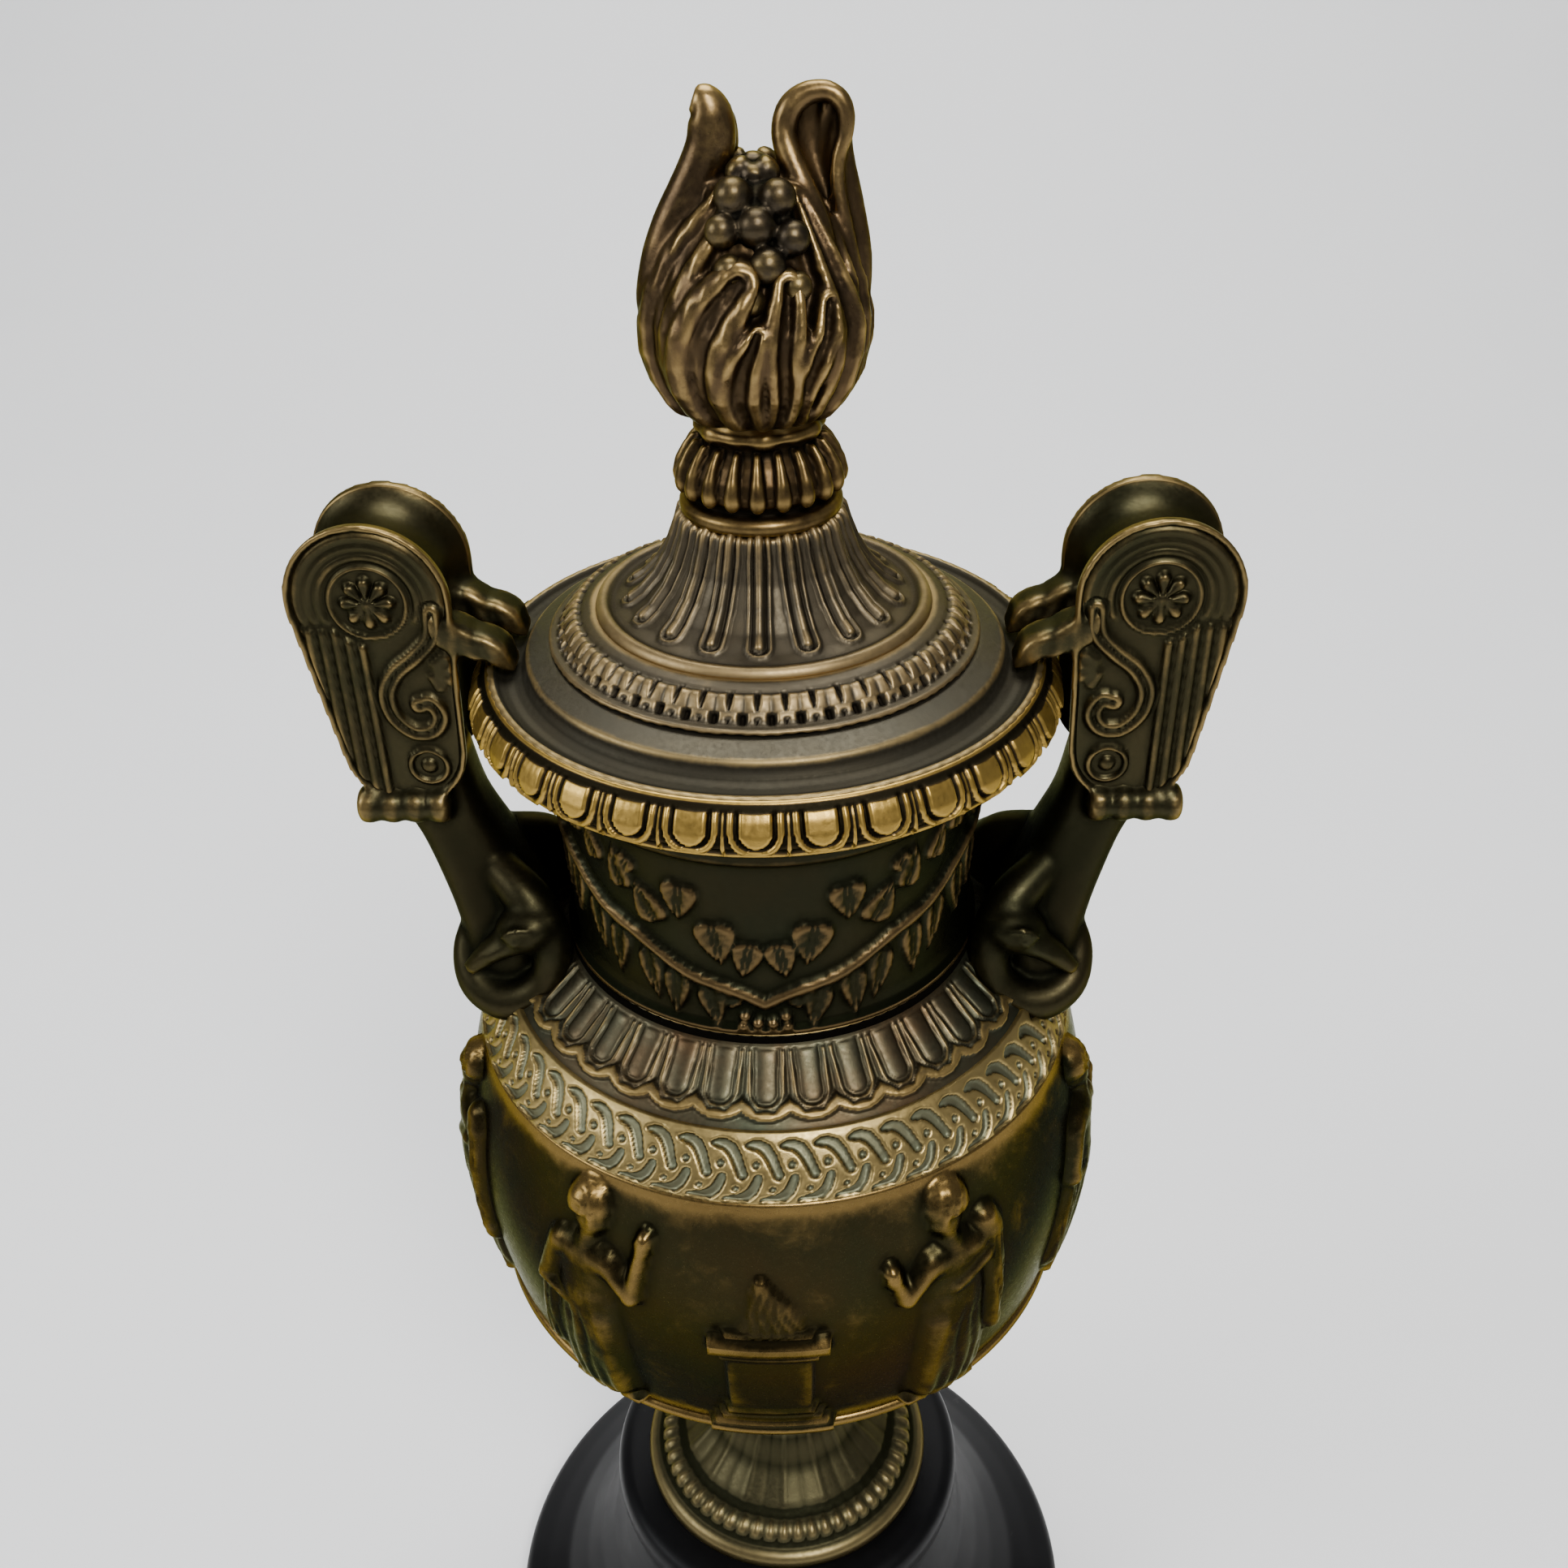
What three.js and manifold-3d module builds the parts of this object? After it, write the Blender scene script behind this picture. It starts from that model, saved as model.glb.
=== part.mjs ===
// Covered mantel urn of patinated bronze on a round black marble plinth.
// Millimetres, +Z up, origin at the centre of the plinth's underside. The front of the frieze,
// with its altar, faces -Y, and the two handles stand on +X and -X.
import * as THREE from 'three';
import { mergeVertices } from 'three/addons/utils/BufferGeometryUtils.js';
import Module from 'manifold-3d';

const wasm = await Module();
wasm.setup();

// Driving sizes
const FIT_GAP = 0.3; // clearance where two castings meet
const PLINTH_HEIGHT = 72;
const PLINTH_RADIUS = 80.5;
const FOOT_RADIUS = 38.5;
const BODY_BASE_Z = 140;
const LEDGE_Z = 174.5; // ground line of the frieze
const LEDGE_RADIUS = 66.4;
const BELLY_RADIUS = 69.6;
const BAND_Z = 240; // lower edge of the guilloche band, top of the frieze
const BAND_RADIUS = 63.8;
const NECK_BASE_Z = 263;
const NECK_RADIUS = 41.6;
const RIM_Z = 316.5; // widest line of the egg-and-dart rim
const RIM_RADIUS = 57;
const SEAT_Z = 328.7; // where the lid rests
const MOUTH_RADIUS = 36.3;
const LID_RADIUS = 40.8;
const LID_TOP_Z = 352.8;
const COLLAR_Z = 369;
const BUD_RADIUS = 20.2;

// Points in a ring: a plain turned surface, a hidden one, a small one, and the figure frieze
const ROUND = 32;
const HIDDEN = 18;
const COARSE = 16;
const FRIEZE_COLUMNS = 58;
const FRIEZE_ROWS = 6;

// Counts of the repeated ornament
const EGG_COUNT = 32;
const TONGUE_COUNT = 40;
const GADROON_COUNT = 24;
const FLUTE_COUNT = 18;
const LEAF_COUNT = 28;
const KNOP_RIB_COUNT = 20;
const FOOT_LEAF_COUNT = 16;
const PETAL_COUNT = 8;

// Handles
const HEAD_X = 72.3; // centre of the volute's round head
const HEAD_Z = 339;
const HEAD_RADIUS = 15.4;
const TAIL_X = 70; // centre of the volute's narrower lower end
const TAIL_Z = 307;
const TAIL_RADIUS = 12;
const PLATE_Y = 11.3; // half the handle's width across the two volute faces
const CHANNEL_DEPTH = 4;
const ROLL_REACH = 4; // the roll under the volutes is this many times deeper than high

const BRONZE = { color: 0x4a4234, roughness: 0.42, metalness: 0.9 };
const WORN_BRONZE = { color: 0x6e5a36, roughness: 0.36, metalness: 0.95 };
const MARBLE = { color: 0x17181a, roughness: 0.18, metalness: 0 };

const TAU = 2 * Math.PI;
const flat = () => 0;

// ---------------------------------------------------------------- solids from rings

// One ring of points around the Z axis. The angle starts at the front, -Y, and grows towards +X.
// relief(angle) moves a point outwards, along a direction that climbs by tilt radians.
function ring(radius, height, count, relief = flat, tilt = 0) {
  const points = [];
  for (let i = 0; i < count; i += 1) {
    const angle = (TAU * i) / count;
    const lift = relief(angle);
    const r = radius + lift * Math.cos(tilt);
    const z = height + lift * Math.sin(tilt);
    points.push(new THREE.Vector3(r * Math.sin(angle), -r * Math.cos(angle), z));
  }
  return points;
}

const pole = (height) => [new THREE.Vector3(0, 0, height)];

// Joins rings of any point counts into one closed solid. The rings climb the outside and come back
// down the inside. closed joins the last ring to the first, for a solid with a hole through it.
function ringSolid(rings, closed = false) {
  const starts = [];
  const positions = [];
  for (const points of rings) {
    starts.push(positions.length / 3);
    for (const point of points) {
      positions.push(point.x, point.y, point.z);
    }
  }
  const faces = [];
  const last = closed ? rings.length : rings.length - 1;
  for (let k = 0; k < last; k += 1) {
    const next = (k + 1) % rings.length;
    const lower = rings[k].length;
    const upper = rings[next].length;
    let i = 0;
    let j = 0;
    while (i < lower || j < upper) {
      const a = starts[k] + (i % lower);
      const b = starts[next] + (j % upper);
      const lowerEnd = lower === 1 || i === lower;
      const upperEnd = upper === 1 || j === upper;
      if (lowerEnd && upperEnd) {
        break;
      }
      const stepLower = upperEnd || (!lowerEnd && (i + 1) / lower <= (j + 1) / upper);
      if (stepLower) {
        i += 1;
        faces.push(a, starts[k] + (i % lower), b);
      } else {
        j += 1;
        faces.push(a, starts[next] + (j % upper), b);
      }
    }
  }
  const geometry = new THREE.BufferGeometry();
  geometry.setAttribute('position', new THREE.Float32BufferAttribute(positions, 3));
  geometry.setIndex(faces);
  return geometry;
}

// ---------------------------------------------------------------- joining and cutting

function toManifold(geometry) {
  const bare = geometry.clone();
  bare.deleteAttribute('normal');
  bare.deleteAttribute('uv');
  const merged = mergeVertices(bare, 1e-4);
  return new wasm.Manifold(new wasm.Mesh({
    numProp: 3,
    vertProperties: new Float32Array(merged.attributes.position.array),
    triVerts: new Uint32Array(merged.index.array),
  }));
}

function toGeometry(manifold) {
  const mesh = manifold.getMesh();
  const geometry = new THREE.BufferGeometry();
  geometry.setAttribute('position', new THREE.BufferAttribute(mesh.vertProperties, 3));
  geometry.setIndex(new THREE.BufferAttribute(mesh.triVerts, 1));
  return geometry;
}

const joined = (geometries) => geometries.map(toManifold).reduce((sum, next) => sum.add(next));

function named(name, geometry, look) {
  const mesh = new THREE.Mesh(geometry, new THREE.MeshStandardMaterial(look));
  mesh.name = name;
  return mesh;
}

// ---------------------------------------------------------------- relief shapes

const smooth = (t) => {
  const x = Math.min(Math.max(t, 0), 1);
  return x * x * (3 - 2 * x);
};

// Rounded ridges, count of them in a full turn, with one in the middle of the front.
const ridges = (count, height) => (angle) => height * Math.abs(Math.cos((angle * count) / 2));

// Height of a limb seen from outside: a round bar from a to b, thinner towards b.
function limb(s, z, a, b, startWidth, endWidth, height) {
  const dx = b[0] - a[0];
  const dz = b[1] - a[1];
  const along = Math.min(Math.max(((s - a[0]) * dx + (z - a[1]) * dz) / (dx * dx + dz * dz), 0), 1);
  const distance = Math.hypot(s - a[0] - along * dx, z - a[1] - along * dz);
  const width = startWidth + (endWidth - startWidth) * along;
  return height * smooth((width - distance) / width * 1.6);
}

// ---------------------------------------------------------------- plinth

function plinth() {
  const top = PLINTH_HEIGHT;
  const profile = [
    [PLINTH_RADIUS - 1, 0], [PLINTH_RADIUS, 1.6], [PLINTH_RADIUS, 9], [PLINTH_RADIUS - 2, 11],
    [66, 18.5], [55, 32], [47.4, 49], [45, 59.6], [47.6, 63], [47.6, 68.5], [45, top - 0.6], [42.3, top],
  ];
  return ringSolid([pole(0), ...profile.map(([radius, height]) => ring(radius, height, ROUND)), pole(top)]);
}

// ---------------------------------------------------------------- foot

// A hollow turned foot, open below: base moulding, ring of leaf tips, dome and stem.
function foot() {
  const bottom = PLINTH_HEIGHT + FIT_GAP;
  const top = BODY_BASE_Z - FIT_GAP;
  const leaves = ridges(FOOT_LEAF_COUNT, 1.3);
  const tips = FOOT_LEAF_COUNT * 2;
  const outside = [
    ring(FOOT_RADIUS, bottom, ROUND), ring(FOOT_RADIUS, bottom + 2.6, ROUND), ring(34.5, 77.2, ROUND),
    ring(32.4, 78.6, tips, leaves, 1.2), ring(28, 81.6, tips, leaves, 1),
    ring(20.5, 89.5, COARSE), ring(14.4, 103, COARSE), ring(12.6, 114, COARSE), ring(15.6, 120.5, COARSE),
    ring(13.2, 126, COARSE), ring(16.5, 133, COARSE), ring(23, top, COARSE),
  ];
  const inside = [
    ring(8.5, 118, COARSE), ring(14, 93, COARSE), ring(26, 78, COARSE), ring(35, bottom, COARSE),
  ];
  return ringSolid([...outside, pole(top), pole(top - 16), ...inside], true);
}

// ---------------------------------------------------------------- body

// A standing figure of the frieze, centred on s = 0 with its feet at z = 0. side is 1 or -1 and says
// which way it turns. raised is how far its leading arm is lifted, from 0 to 1.
function figure(s, z, side, raised) {
  const x = s * side;
  const handZ = 34 + 16 * raised;
  return Math.max(
    limb(x, z, [0.8, 55.5], [0.8, 57.5], 4.4, 3.8, 3.6),
    limb(x, z, [0, 47], [-0.6, 31], 7, 5, 2.8),
    limb(x, z, [-0.6, 31], [-1.6, 12], 7, 9, 2.4),
    limb(x, z, [1.5, 28], [6.5, 3], 4.4, 2.6, 2.4),
    limb(x, z, [-3, 26], [-7, 3], 5, 2.8, 2.4),
    limb(x, z, [5, 47], [12, 40], 3, 2.6, 2.6),
    limb(x, z, [12, 40], [14.5, handZ], 2.6, 2.4, 2.6),
    limb(x, z, [-5, 47], [-11, 37], 3, 2.6, 2.4),
  );
}

// The altar with its fire, centred on s = 0 with its base at z = 0.
function altar(s, z) {
  const across = Math.abs(s);
  const foot = z < 4 && across < 14 ? 2.4 : 0;
  const block = z < 26 && across < 9.5 ? 2 : 0;
  const slab = z > 22 && z < 30 && across < 13 ? 2.8 : 0;
  const fire = limb(s, z, [0, 30], [1.5, 42], 6, 2, 2);
  return Math.max(foot, block, slab, fire);
}

// Angles of the figures from the front, in degrees, with the side they turn to and the arm's lift.
const FIGURES = [[-32, 1, 1], [32, -1, 0.6], [-74, -1, 0.2], [74, 1, 0.4], [-116, 1, 0.8],
  [116, -1, 0], [-158, 1, 0.3], [158, -1, 0.9]];

function friezeRelief(z) {
  const level = z - LEDGE_Z - 2;
  const fade = smooth((BAND_Z - 0.5 - z) / 3);
  return (angle) => {
    const turn = angle > Math.PI ? angle - TAU : angle;
    let height = altar(turn * BELLY_RADIUS, level);
    for (const [degrees, side, raised] of FIGURES) {
      const s = (turn - THREE.MathUtils.degToRad(degrees)) * BELLY_RADIUS;
      height = Math.max(height, figure(s, level, side, raised));
    }
    return height * fade;
  };
}

// The belly's radius between the ledge and the guilloche band.
function bellyRadius(z) {
  const t = (z - LEDGE_Z) / (BAND_Z - LEDGE_Z);
  const chord = LEDGE_RADIUS - 1.2 + (BAND_RADIUS - LEDGE_RADIUS + 1.2) * t;
  return chord + (BELLY_RADIUS - chord) * Math.sin(Math.PI * t) ** 0.9;
}

function friezeRings() {
  const rings = [];
  for (let row = 0; row <= FRIEZE_ROWS; row += 1) {
    const z = LEDGE_Z + 2 + ((BAND_Z - LEDGE_Z - 2) * row) / FRIEZE_ROWS;
    rings.push(ring(bellyRadius(z), z, FRIEZE_COLUMNS, friezeRelief(z)));
  }
  return rings;
}

// One casting from the bowl to the rim: gadrooned bowl, frieze, banded shoulder, neck, egg-and-dart
// rim and the seat for the lid, hollow inside to a bronze wall about 4 mm thick.
function body() {
  const gadroons = ridges(GADROON_COUNT, 1.6);
  const lobes = GADROON_COUNT * 2;
  const bowl = [
    ring(23, BODY_BASE_Z, COARSE), ring(25.5, BODY_BASE_Z + 2.6, COARSE),
    ring(32, 145, lobes, gadroons, -0.8),
    ring(47, 153.5, lobes, gadroons, -0.8), ring(58.5, 165, lobes, gadroons, -0.5),
    ring(63.5, LEDGE_Z - 2.6, ROUND), ring(LEDGE_RADIUS, LEDGE_Z - 1.6, ROUND),
    ring(LEDGE_RADIUS, LEDGE_Z + 0.8, ROUND),
  ];
  const tongues = ridges(TONGUE_COUNT, 1);
  const ends = TONGUE_COUNT * 2;
  const shoulder = [
    ring(56.4, 250.9, ROUND), ring(53.4, 253, ends, tongues, 1), ring(44.4, 260, ends, tongues, 1.2),
    ring(42.9, NECK_BASE_Z - 1.6, ROUND),
  ];
  const neck = [
    ring(43.4, NECK_BASE_Z, ROUND), ring(NECK_RADIUS, NECK_BASE_Z + 4, ROUND),
    ring(NECK_RADIUS + 0.4, 304, ROUND), ring(45, 310.5, ROUND), ring(53.6, 314.2, ROUND),
  ];
  const eggs = ridges(EGG_COUNT, 1.1);
  const points = EGG_COUNT * 2;
  const rim = [
    ring(RIM_RADIUS - 0.8, RIM_Z - 0.8, points, eggs),
    ring(RIM_RADIUS - 1.6, RIM_Z + 3.6, points, eggs, 0.4),
    ring(RIM_RADIUS - 3.6, RIM_Z + 6.8, ROUND), ring(52.4, 324, ROUND), ring(50.6, 323.3, ROUND),
    ring(46, 324, ROUND), ring(45.4, 326.5, ROUND), ring(LID_RADIUS - 0.3, SEAT_Z, ROUND),
  ];
  const inside = [
    ring(MOUTH_RADIUS, SEAT_Z, HIDDEN), ring(MOUTH_RADIUS, 320, HIDDEN), ring(37.4, 314, HIDDEN),
    ring(37.4, 268, HIDDEN), ring(49.6, 250, HIDDEN), ring(60, 236, HIDDEN), ring(65, 214, HIDDEN),
    ring(63.4, 190, HIDDEN), ring(55, 169.5, HIDDEN), ring(35, 152, COARSE),
  ];
  const outside = [...bowl, ...friezeRings(), ...shoulder, ...neck, ...rim];
  return ringSolid([pole(BODY_BASE_Z), ...outside, ...inside, pole(145)]);
}

// The space that a handle keeps clear of: the body's outline without relief, one fit gap wider.
function bodyClearance() {
  const profile = [
    [BELLY_RADIUS + 1, 205], [68.5, 228], [BAND_RADIUS, BAND_Z], [56.4, 250.9], [54, 253.8], [44.9, 261.3],
    [43.6, NECK_BASE_Z + 1], [NECK_RADIUS + 0.3, 304], [53.6, 314.2], [RIM_RADIUS + 0.4, RIM_Z - 0.8],
    [RIM_RADIUS - 0.6, 320.5], [52.6, 324.4], [46, 324.4], [45.4, 326.5], [41, 331],
  ];
  const rings = profile.map(([radius, height]) => ring(radius + 1.3 * FIT_GAP, height + FIT_GAP, ROUND));
  return ringSolid([pole(205 + FIT_GAP), ...rings, pole(331 + FIT_GAP)]);
}

// ---------------------------------------------------------------- lid and finial

function lid() {
  const flutes = ridges(FLUTE_COUNT, 1.2);
  const leaves = ridges(LEAF_COUNT, 0.9);
  const rods = FLUTE_COUNT * 3;
  const tips = LEAF_COUNT * 2;
  const under = SEAT_Z + FIT_GAP;
  const outside = [
    ring(LID_RADIUS, under, ROUND), ring(LID_RADIUS, 330.6, ROUND), ring(38, 331.2, ROUND),
    ring(36.8, 332.2, tips, leaves, 0.6), ring(34.2, 334.2, tips, leaves, 1.1), ring(31.2, 335, ROUND),
    ring(30, 336.4, ROUND), ring(27.9, 335.2, ROUND), ring(23.4, 337.4, rods, flutes, 1),
    ring(18, 343.6, rods, flutes, 0.6), ring(14.4, LID_TOP_Z, ROUND),
  ];
  const inside = [
    ring(11, 348, COARSE), ring(15.6, 339.6, COARSE), ring(28, 332.2, COARSE), ring(32.6, 329.4, HIDDEN),
    ring(32.6, 324.4, HIDDEN), ring(MOUTH_RADIUS - 1.2, 324.4, HIDDEN),
    ring(MOUTH_RADIUS - 1.2, under, HIDDEN),
  ];
  return ringSolid([...outside, pole(LID_TOP_Z), pole(349.6), ...inside], true);
}

// A leaf blade of the bud, from points [x, y, z, half width] up its middle. It faces outwards at turn
// degrees from the front, and its edges stand forward of its hollow middle.
function leafBlade(turn, thickness, spine) {
  const facing = THREE.MathUtils.degToRad(turn);
  const outward = new THREE.Vector3(Math.sin(facing), -Math.cos(facing), 0);
  const centres = spine.map(([x, y, z]) => new THREE.Vector3(x, y, z));
  const last = centres.length - 1;
  const rings = centres.map((centre, i) => {
    const along = centres[Math.min(i + 1, last)].clone().sub(centres[Math.max(i - 1, 0)]).normalize();
    const across = new THREE.Vector3().crossVectors(outward, along).normalize();
    const face = new THREE.Vector3().crossVectors(along, across).normalize();
    const halfWidth = spine[i][3];
    const point = (sideways, forward) => centre.clone().addScaledVector(across, sideways * halfWidth)
      .addScaledVector(face, forward * thickness);
    const front = [point(1, 1.2), point(0.55, 0.9), point(0, 0.2), point(-0.55, 0.9), point(-1, 1.2)];
    return [...front, point(0, -1)];
  });
  return ringSolid([[centres[0]], ...rings, [centres[last]]]);
}

// Ring, ribbed knop, collar and the opening bud of leaves with its berries, in one casting.
function finial() {
  const ribs = ridges(KNOP_RIB_COUNT, 1);
  const ribEnds = KNOP_RIB_COUNT * 2;
  const bud = (angle) => 1.5 * Math.abs(Math.cos(angle * 3.5)) + 0.5 * Math.cos(angle * 5 + 1);
  const twist = (turn) => (angle) => bud(angle + turn);
  const stack = [
    ring(13.6, LID_TOP_Z + FIT_GAP, COARSE), ring(14.8, 355, COARSE), ring(12.8, 356.6, COARSE),
    ring(13.8, 359.6, ribEnds, ribs), ring(12.4, 364.6, ribEnds, ribs), ring(10.4, 367.4, COARSE),
    ring(11.8, COLLAR_Z, COARSE), ring(10.6, 371, COARSE), ring(15.4, 375.4, 20, twist(0)),
    ring(BUD_RADIUS - 1.4, 387, 20, twist(0.3)), ring(14.6, 399, 12), ring(8.4, 409, 10),
  ];
  const core = ringSolid([pole(LID_TOP_Z + FIT_GAP), ...stack, pole(413)]);
  const blades = [
    leafBlade(-90, 1.9, [[-17, -1, 388, 5], [-14, -1, 402, 5], [-9.6, 0, 413, 3.6], [-8.4, -0.5, 419, 3.4],
      [-9.6, -1, 423, 2.4]]),
    leafBlade(38, 1.9, [[14.6, 3, 388, 4.4], [12.6, 2, 401, 5], [9.6, 0, 411, 4], [8.6, -0.5, 418.6, 8.4],
      [9.2, -3, 424, 6]]),
    leafBlade(-38, 1.7, [[-12, -15, 378, 4], [-12.4, -15.6, 390, 6], [-9.4, -12, 400, 5],
      [-7, -8.6, 406, 2]]),
    leafBlade(-9, 1.7, [[-3, -18.6, 376, 4], [-3, -20, 386, 6], [-1.6, -17, 395, 3]]),
    leafBlade(29, 1.6, [[9, -17, 378, 3.4], [9.6, -17.4, 388, 5], [8, -14, 397, 4.6], [7.4, -10, 406, 2]]),
    leafBlade(155, 1.7, [[7, 16, 380, 4.4], [7, 17, 392, 7], [3, 11, 404, 5], [2, 8, 411, 2]]),
    leafBlade(-150, 1.7, [[-9, 15, 380, 4.4], [-10, 15.6, 392, 7], [-6, 10, 403, 5], [-4, 7, 409, 2]]),
  ];
  const berries = [[-3.6, 411], [3.3, 410.6], [-0.3, 406.4], [5.6, 404.6], [1.4, 400.6], [-4.7, 401.6]]
    .map(([x, height]) => {
      const berry = new THREE.IcosahedronGeometry(2.9, 0);
      return berry.translate(x, 0.44 * (height - 411) - 6.4, height);
    });
  return toGeometry(joined([core, ...blades, ...berries]));
}

// ---------------------------------------------------------------- handles

// Outline of a volute face: the round head and the smaller round tail with straight sides between
// them, drawn inside the full outline by inset. Points run clockwise seen from the front.
function volute(inset) {
  const dx = HEAD_X - TAIL_X;
  const dz = HEAD_Z - TAIL_Z;
  const axis = Math.atan2(dz, dx);
  const spread = Math.acos((TAIL_RADIUS - HEAD_RADIUS) / Math.hypot(dx, dz));
  const arc = (x, z, radius, from, to, steps) => Array.from({ length: steps + 1 }, (_, i) => {
    const angle = from + ((to - from) * i) / steps;
    return [x + radius * Math.cos(angle), z + radius * Math.sin(angle)];
  });
  return [
    ...arc(HEAD_X, HEAD_Z, HEAD_RADIUS - inset, axis + spread, axis - spread, 8),
    ...arc(TAIL_X, TAIL_Z, TAIL_RADIUS - inset, axis - spread + TAU, axis + spread, 3),
  ];
}

// The two volute faces and the hollow channel between their edges, from one set of outlines.
function bolster() {
  const border = [[PLATE_Y - 2.2, 0], [PLATE_Y - 0.4, 0], [PLATE_Y, 2.4], [PLATE_Y - 1.2, 3.6]];
  const layers = [
    ...border.toReversed().map(([y, inset]) => [-y, inset]),
    [-4, CHANNEL_DEPTH], [4, CHANNEL_DEPTH], ...border,
  ];
  const rings = layers.map(([y, inset]) => volute(inset).map(([x, z]) => new THREE.Vector3(x, y, z)));
  const middle = (y) => [new THREE.Vector3((HEAD_X + TAIL_X) / 2, y, (HEAD_Z + TAIL_Z) / 2)];
  return ringSolid([middle(-PLATE_Y + 1.2), ...rings, middle(PLATE_Y - 1.2)]);
}

// Rosette in the eye of a volute. side is -1 on the front face and 1 on the back.
function rosette(side) {
  const petals = ridges(PETAL_COUNT, 1.2);
  const rings = [ring(5.6, 2, PETAL_COUNT * 2, petals)];
  const geometry = ringSolid([pole(-1), ...rings, pole(3.4)]);
  geometry.rotateX(side < 0 ? Math.PI / 2 : -Math.PI / 2);
  geometry.translate(HEAD_X, side * (PLATE_Y - 2.2), HEAD_Z);
  return geometry;
}

// The ribbed roll under the volutes, lying along X on both faces.
function roll() {
  const length = 18.4;
  const steps = 8;
  const rings = [];
  for (let i = 0; i <= steps; i += 1) {
    const radius = 2.3 + 0.9 * Math.abs(Math.sin((4 * Math.PI * i) / steps));
    const round = ring(radius, length * (i / steps - 0.5), 5);
    rings.push(round.map((point) => point.multiply(new THREE.Vector3(1, ROLL_REACH, 1))));
  }
  const geometry = ringSolid([pole(-length / 2), ...rings, pole(length / 2)]);
  geometry.rotateY(Math.PI / 2);
  geometry.translate(73, 0, 294.4);
  return geometry;
}

// The stem that drops from the volutes to the shoulder and spreads where it lands.
function strap() {
  const sections = [
    [300, 68.6, 10.5, 8], [284, 63, 10.4, 8], [268, 59, 10, 9.4], [253, 57.6, 7.6, 12.4], [243, 60, 4, 8],
  ];
  const rings = sections.reverse().map(([z, x, halfX, halfY]) => ring(1, 0, 8)
    .map((p) => new THREE.Vector3(x + p.x * halfX, p.y * halfY, z)));
  const end = (section) => [new THREE.Vector3(section[1], 0, section[0])];
  return ringSolid([end(sections[0]), ...rings, end(sections[sections.length - 1])]);
}

// One swan's head at the foot of the stem, with its neck curled beneath it.
function swan(side) {
  const neck = new THREE.CatmullRomCurve3([[62, 8, 270], [60.5, 12, 259], [57.5, 14, 253.6], [52, 15, 252.8],
    [48.4, 14, 257.4], [50.4, 13, 263.4]].map(([x, y, z]) => new THREE.Vector3(x, side * y, z)));
  const section = new THREE.Shape();
  section.absarc(0, 0, 4, 0, TAU);
  const sweep = { steps: 4, curveSegments: 2, bevelEnabled: false, extrudePath: neck };
  const curl = new THREE.ExtrudeGeometry(section, sweep);
  const skull = new THREE.SphereGeometry(1, 6, 4);
  skull.scale(6.4, 4.6, 4.6);
  skull.rotateY(0.35);
  skull.translate(54.6, side * 13.2, 265);
  const beak = new THREE.ConeGeometry(2.9, 10, 5);
  beak.scale(1, 1, 0.8);
  beak.rotateZ(-Math.PI / 2 - 0.62);
  beak.translate(60.8, side * 13.8, 261);
  return [curl, skull, beak];
}

// One of the lobed arms that tie the volutes to the top of the rim: three swellings in a row.
function bracket(side) {
  const length = 17;
  const steps = 6;
  const rings = [];
  for (let i = 0; i <= steps; i += 1) {
    const radius = 2.7 + 1.2 * Math.abs(Math.sin((3 * Math.PI * i) / steps));
    rings.push(ring(radius, length * (i / steps - 0.5), 5));
  }
  const geometry = ringSolid([pole(-length / 2), ...rings, pole(length / 2)]);
  geometry.rotateY(Math.PI / 2 - 0.46);
  geometry.translate(53.4, side * 8.6, 330.6);
  return geometry;
}

// side is 1 for the handle on +X and -1 for the same casting turned round on -X.
function handle(side) {
  const pieces = [bolster(), roll(), strap()];
  for (const face of [-1, 1]) {
    pieces.push(rosette(face), bracket(face), ...swan(face));
  }
  const solid = joined(pieces).subtract(toManifold(bodyClearance()));
  const largest = solid.decompose().sort((a, b) => b.volume() - a.volume())[0];
  const geometry = toGeometry(largest);
  if (side < 0) {
    geometry.rotateZ(Math.PI);
  }
  return geometry;
}

// ---------------------------------------------------------------- the urn

const urn = new THREE.Group();
urn.add(
  named('plinth', plinth(), MARBLE),
  named('foot', foot(), BRONZE),
  named('body', body(), BRONZE),
  named('handle_right', handle(1), BRONZE),
  named('handle_left', handle(-1), BRONZE),
  named('lid', lid(), WORN_BRONZE),
  named('finial', finial(), WORN_BRONZE),
);

export default urn;
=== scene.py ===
# A covered two-handled mantel urn: dark patinated bronze castings, fitted one on the other,
# on a turned socle of polished black marble. One section for each piece, from the ground up.
import math
import bmesh
import bpy
import numpy as np
from mathutils import Matrix, Vector


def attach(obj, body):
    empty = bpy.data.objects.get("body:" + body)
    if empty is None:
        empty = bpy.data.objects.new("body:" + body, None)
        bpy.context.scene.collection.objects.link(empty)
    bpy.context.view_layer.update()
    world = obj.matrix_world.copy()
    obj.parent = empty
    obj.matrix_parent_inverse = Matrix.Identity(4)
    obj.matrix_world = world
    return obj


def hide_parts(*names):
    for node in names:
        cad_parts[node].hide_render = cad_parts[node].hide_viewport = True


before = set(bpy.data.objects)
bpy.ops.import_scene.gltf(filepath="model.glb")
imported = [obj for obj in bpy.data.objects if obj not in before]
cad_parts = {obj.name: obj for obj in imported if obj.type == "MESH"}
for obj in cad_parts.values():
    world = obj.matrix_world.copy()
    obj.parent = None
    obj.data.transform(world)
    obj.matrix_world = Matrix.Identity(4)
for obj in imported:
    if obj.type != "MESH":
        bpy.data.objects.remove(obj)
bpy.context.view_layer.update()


# ---------------------------------------------------------------- plinth
# The socle is one piece of black marble, turned on a lathe: a wide base that sweeps up in a long
# hollow curve to a small round-edged disc. It is ground and polished, and it carries the bronze foot.

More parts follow.
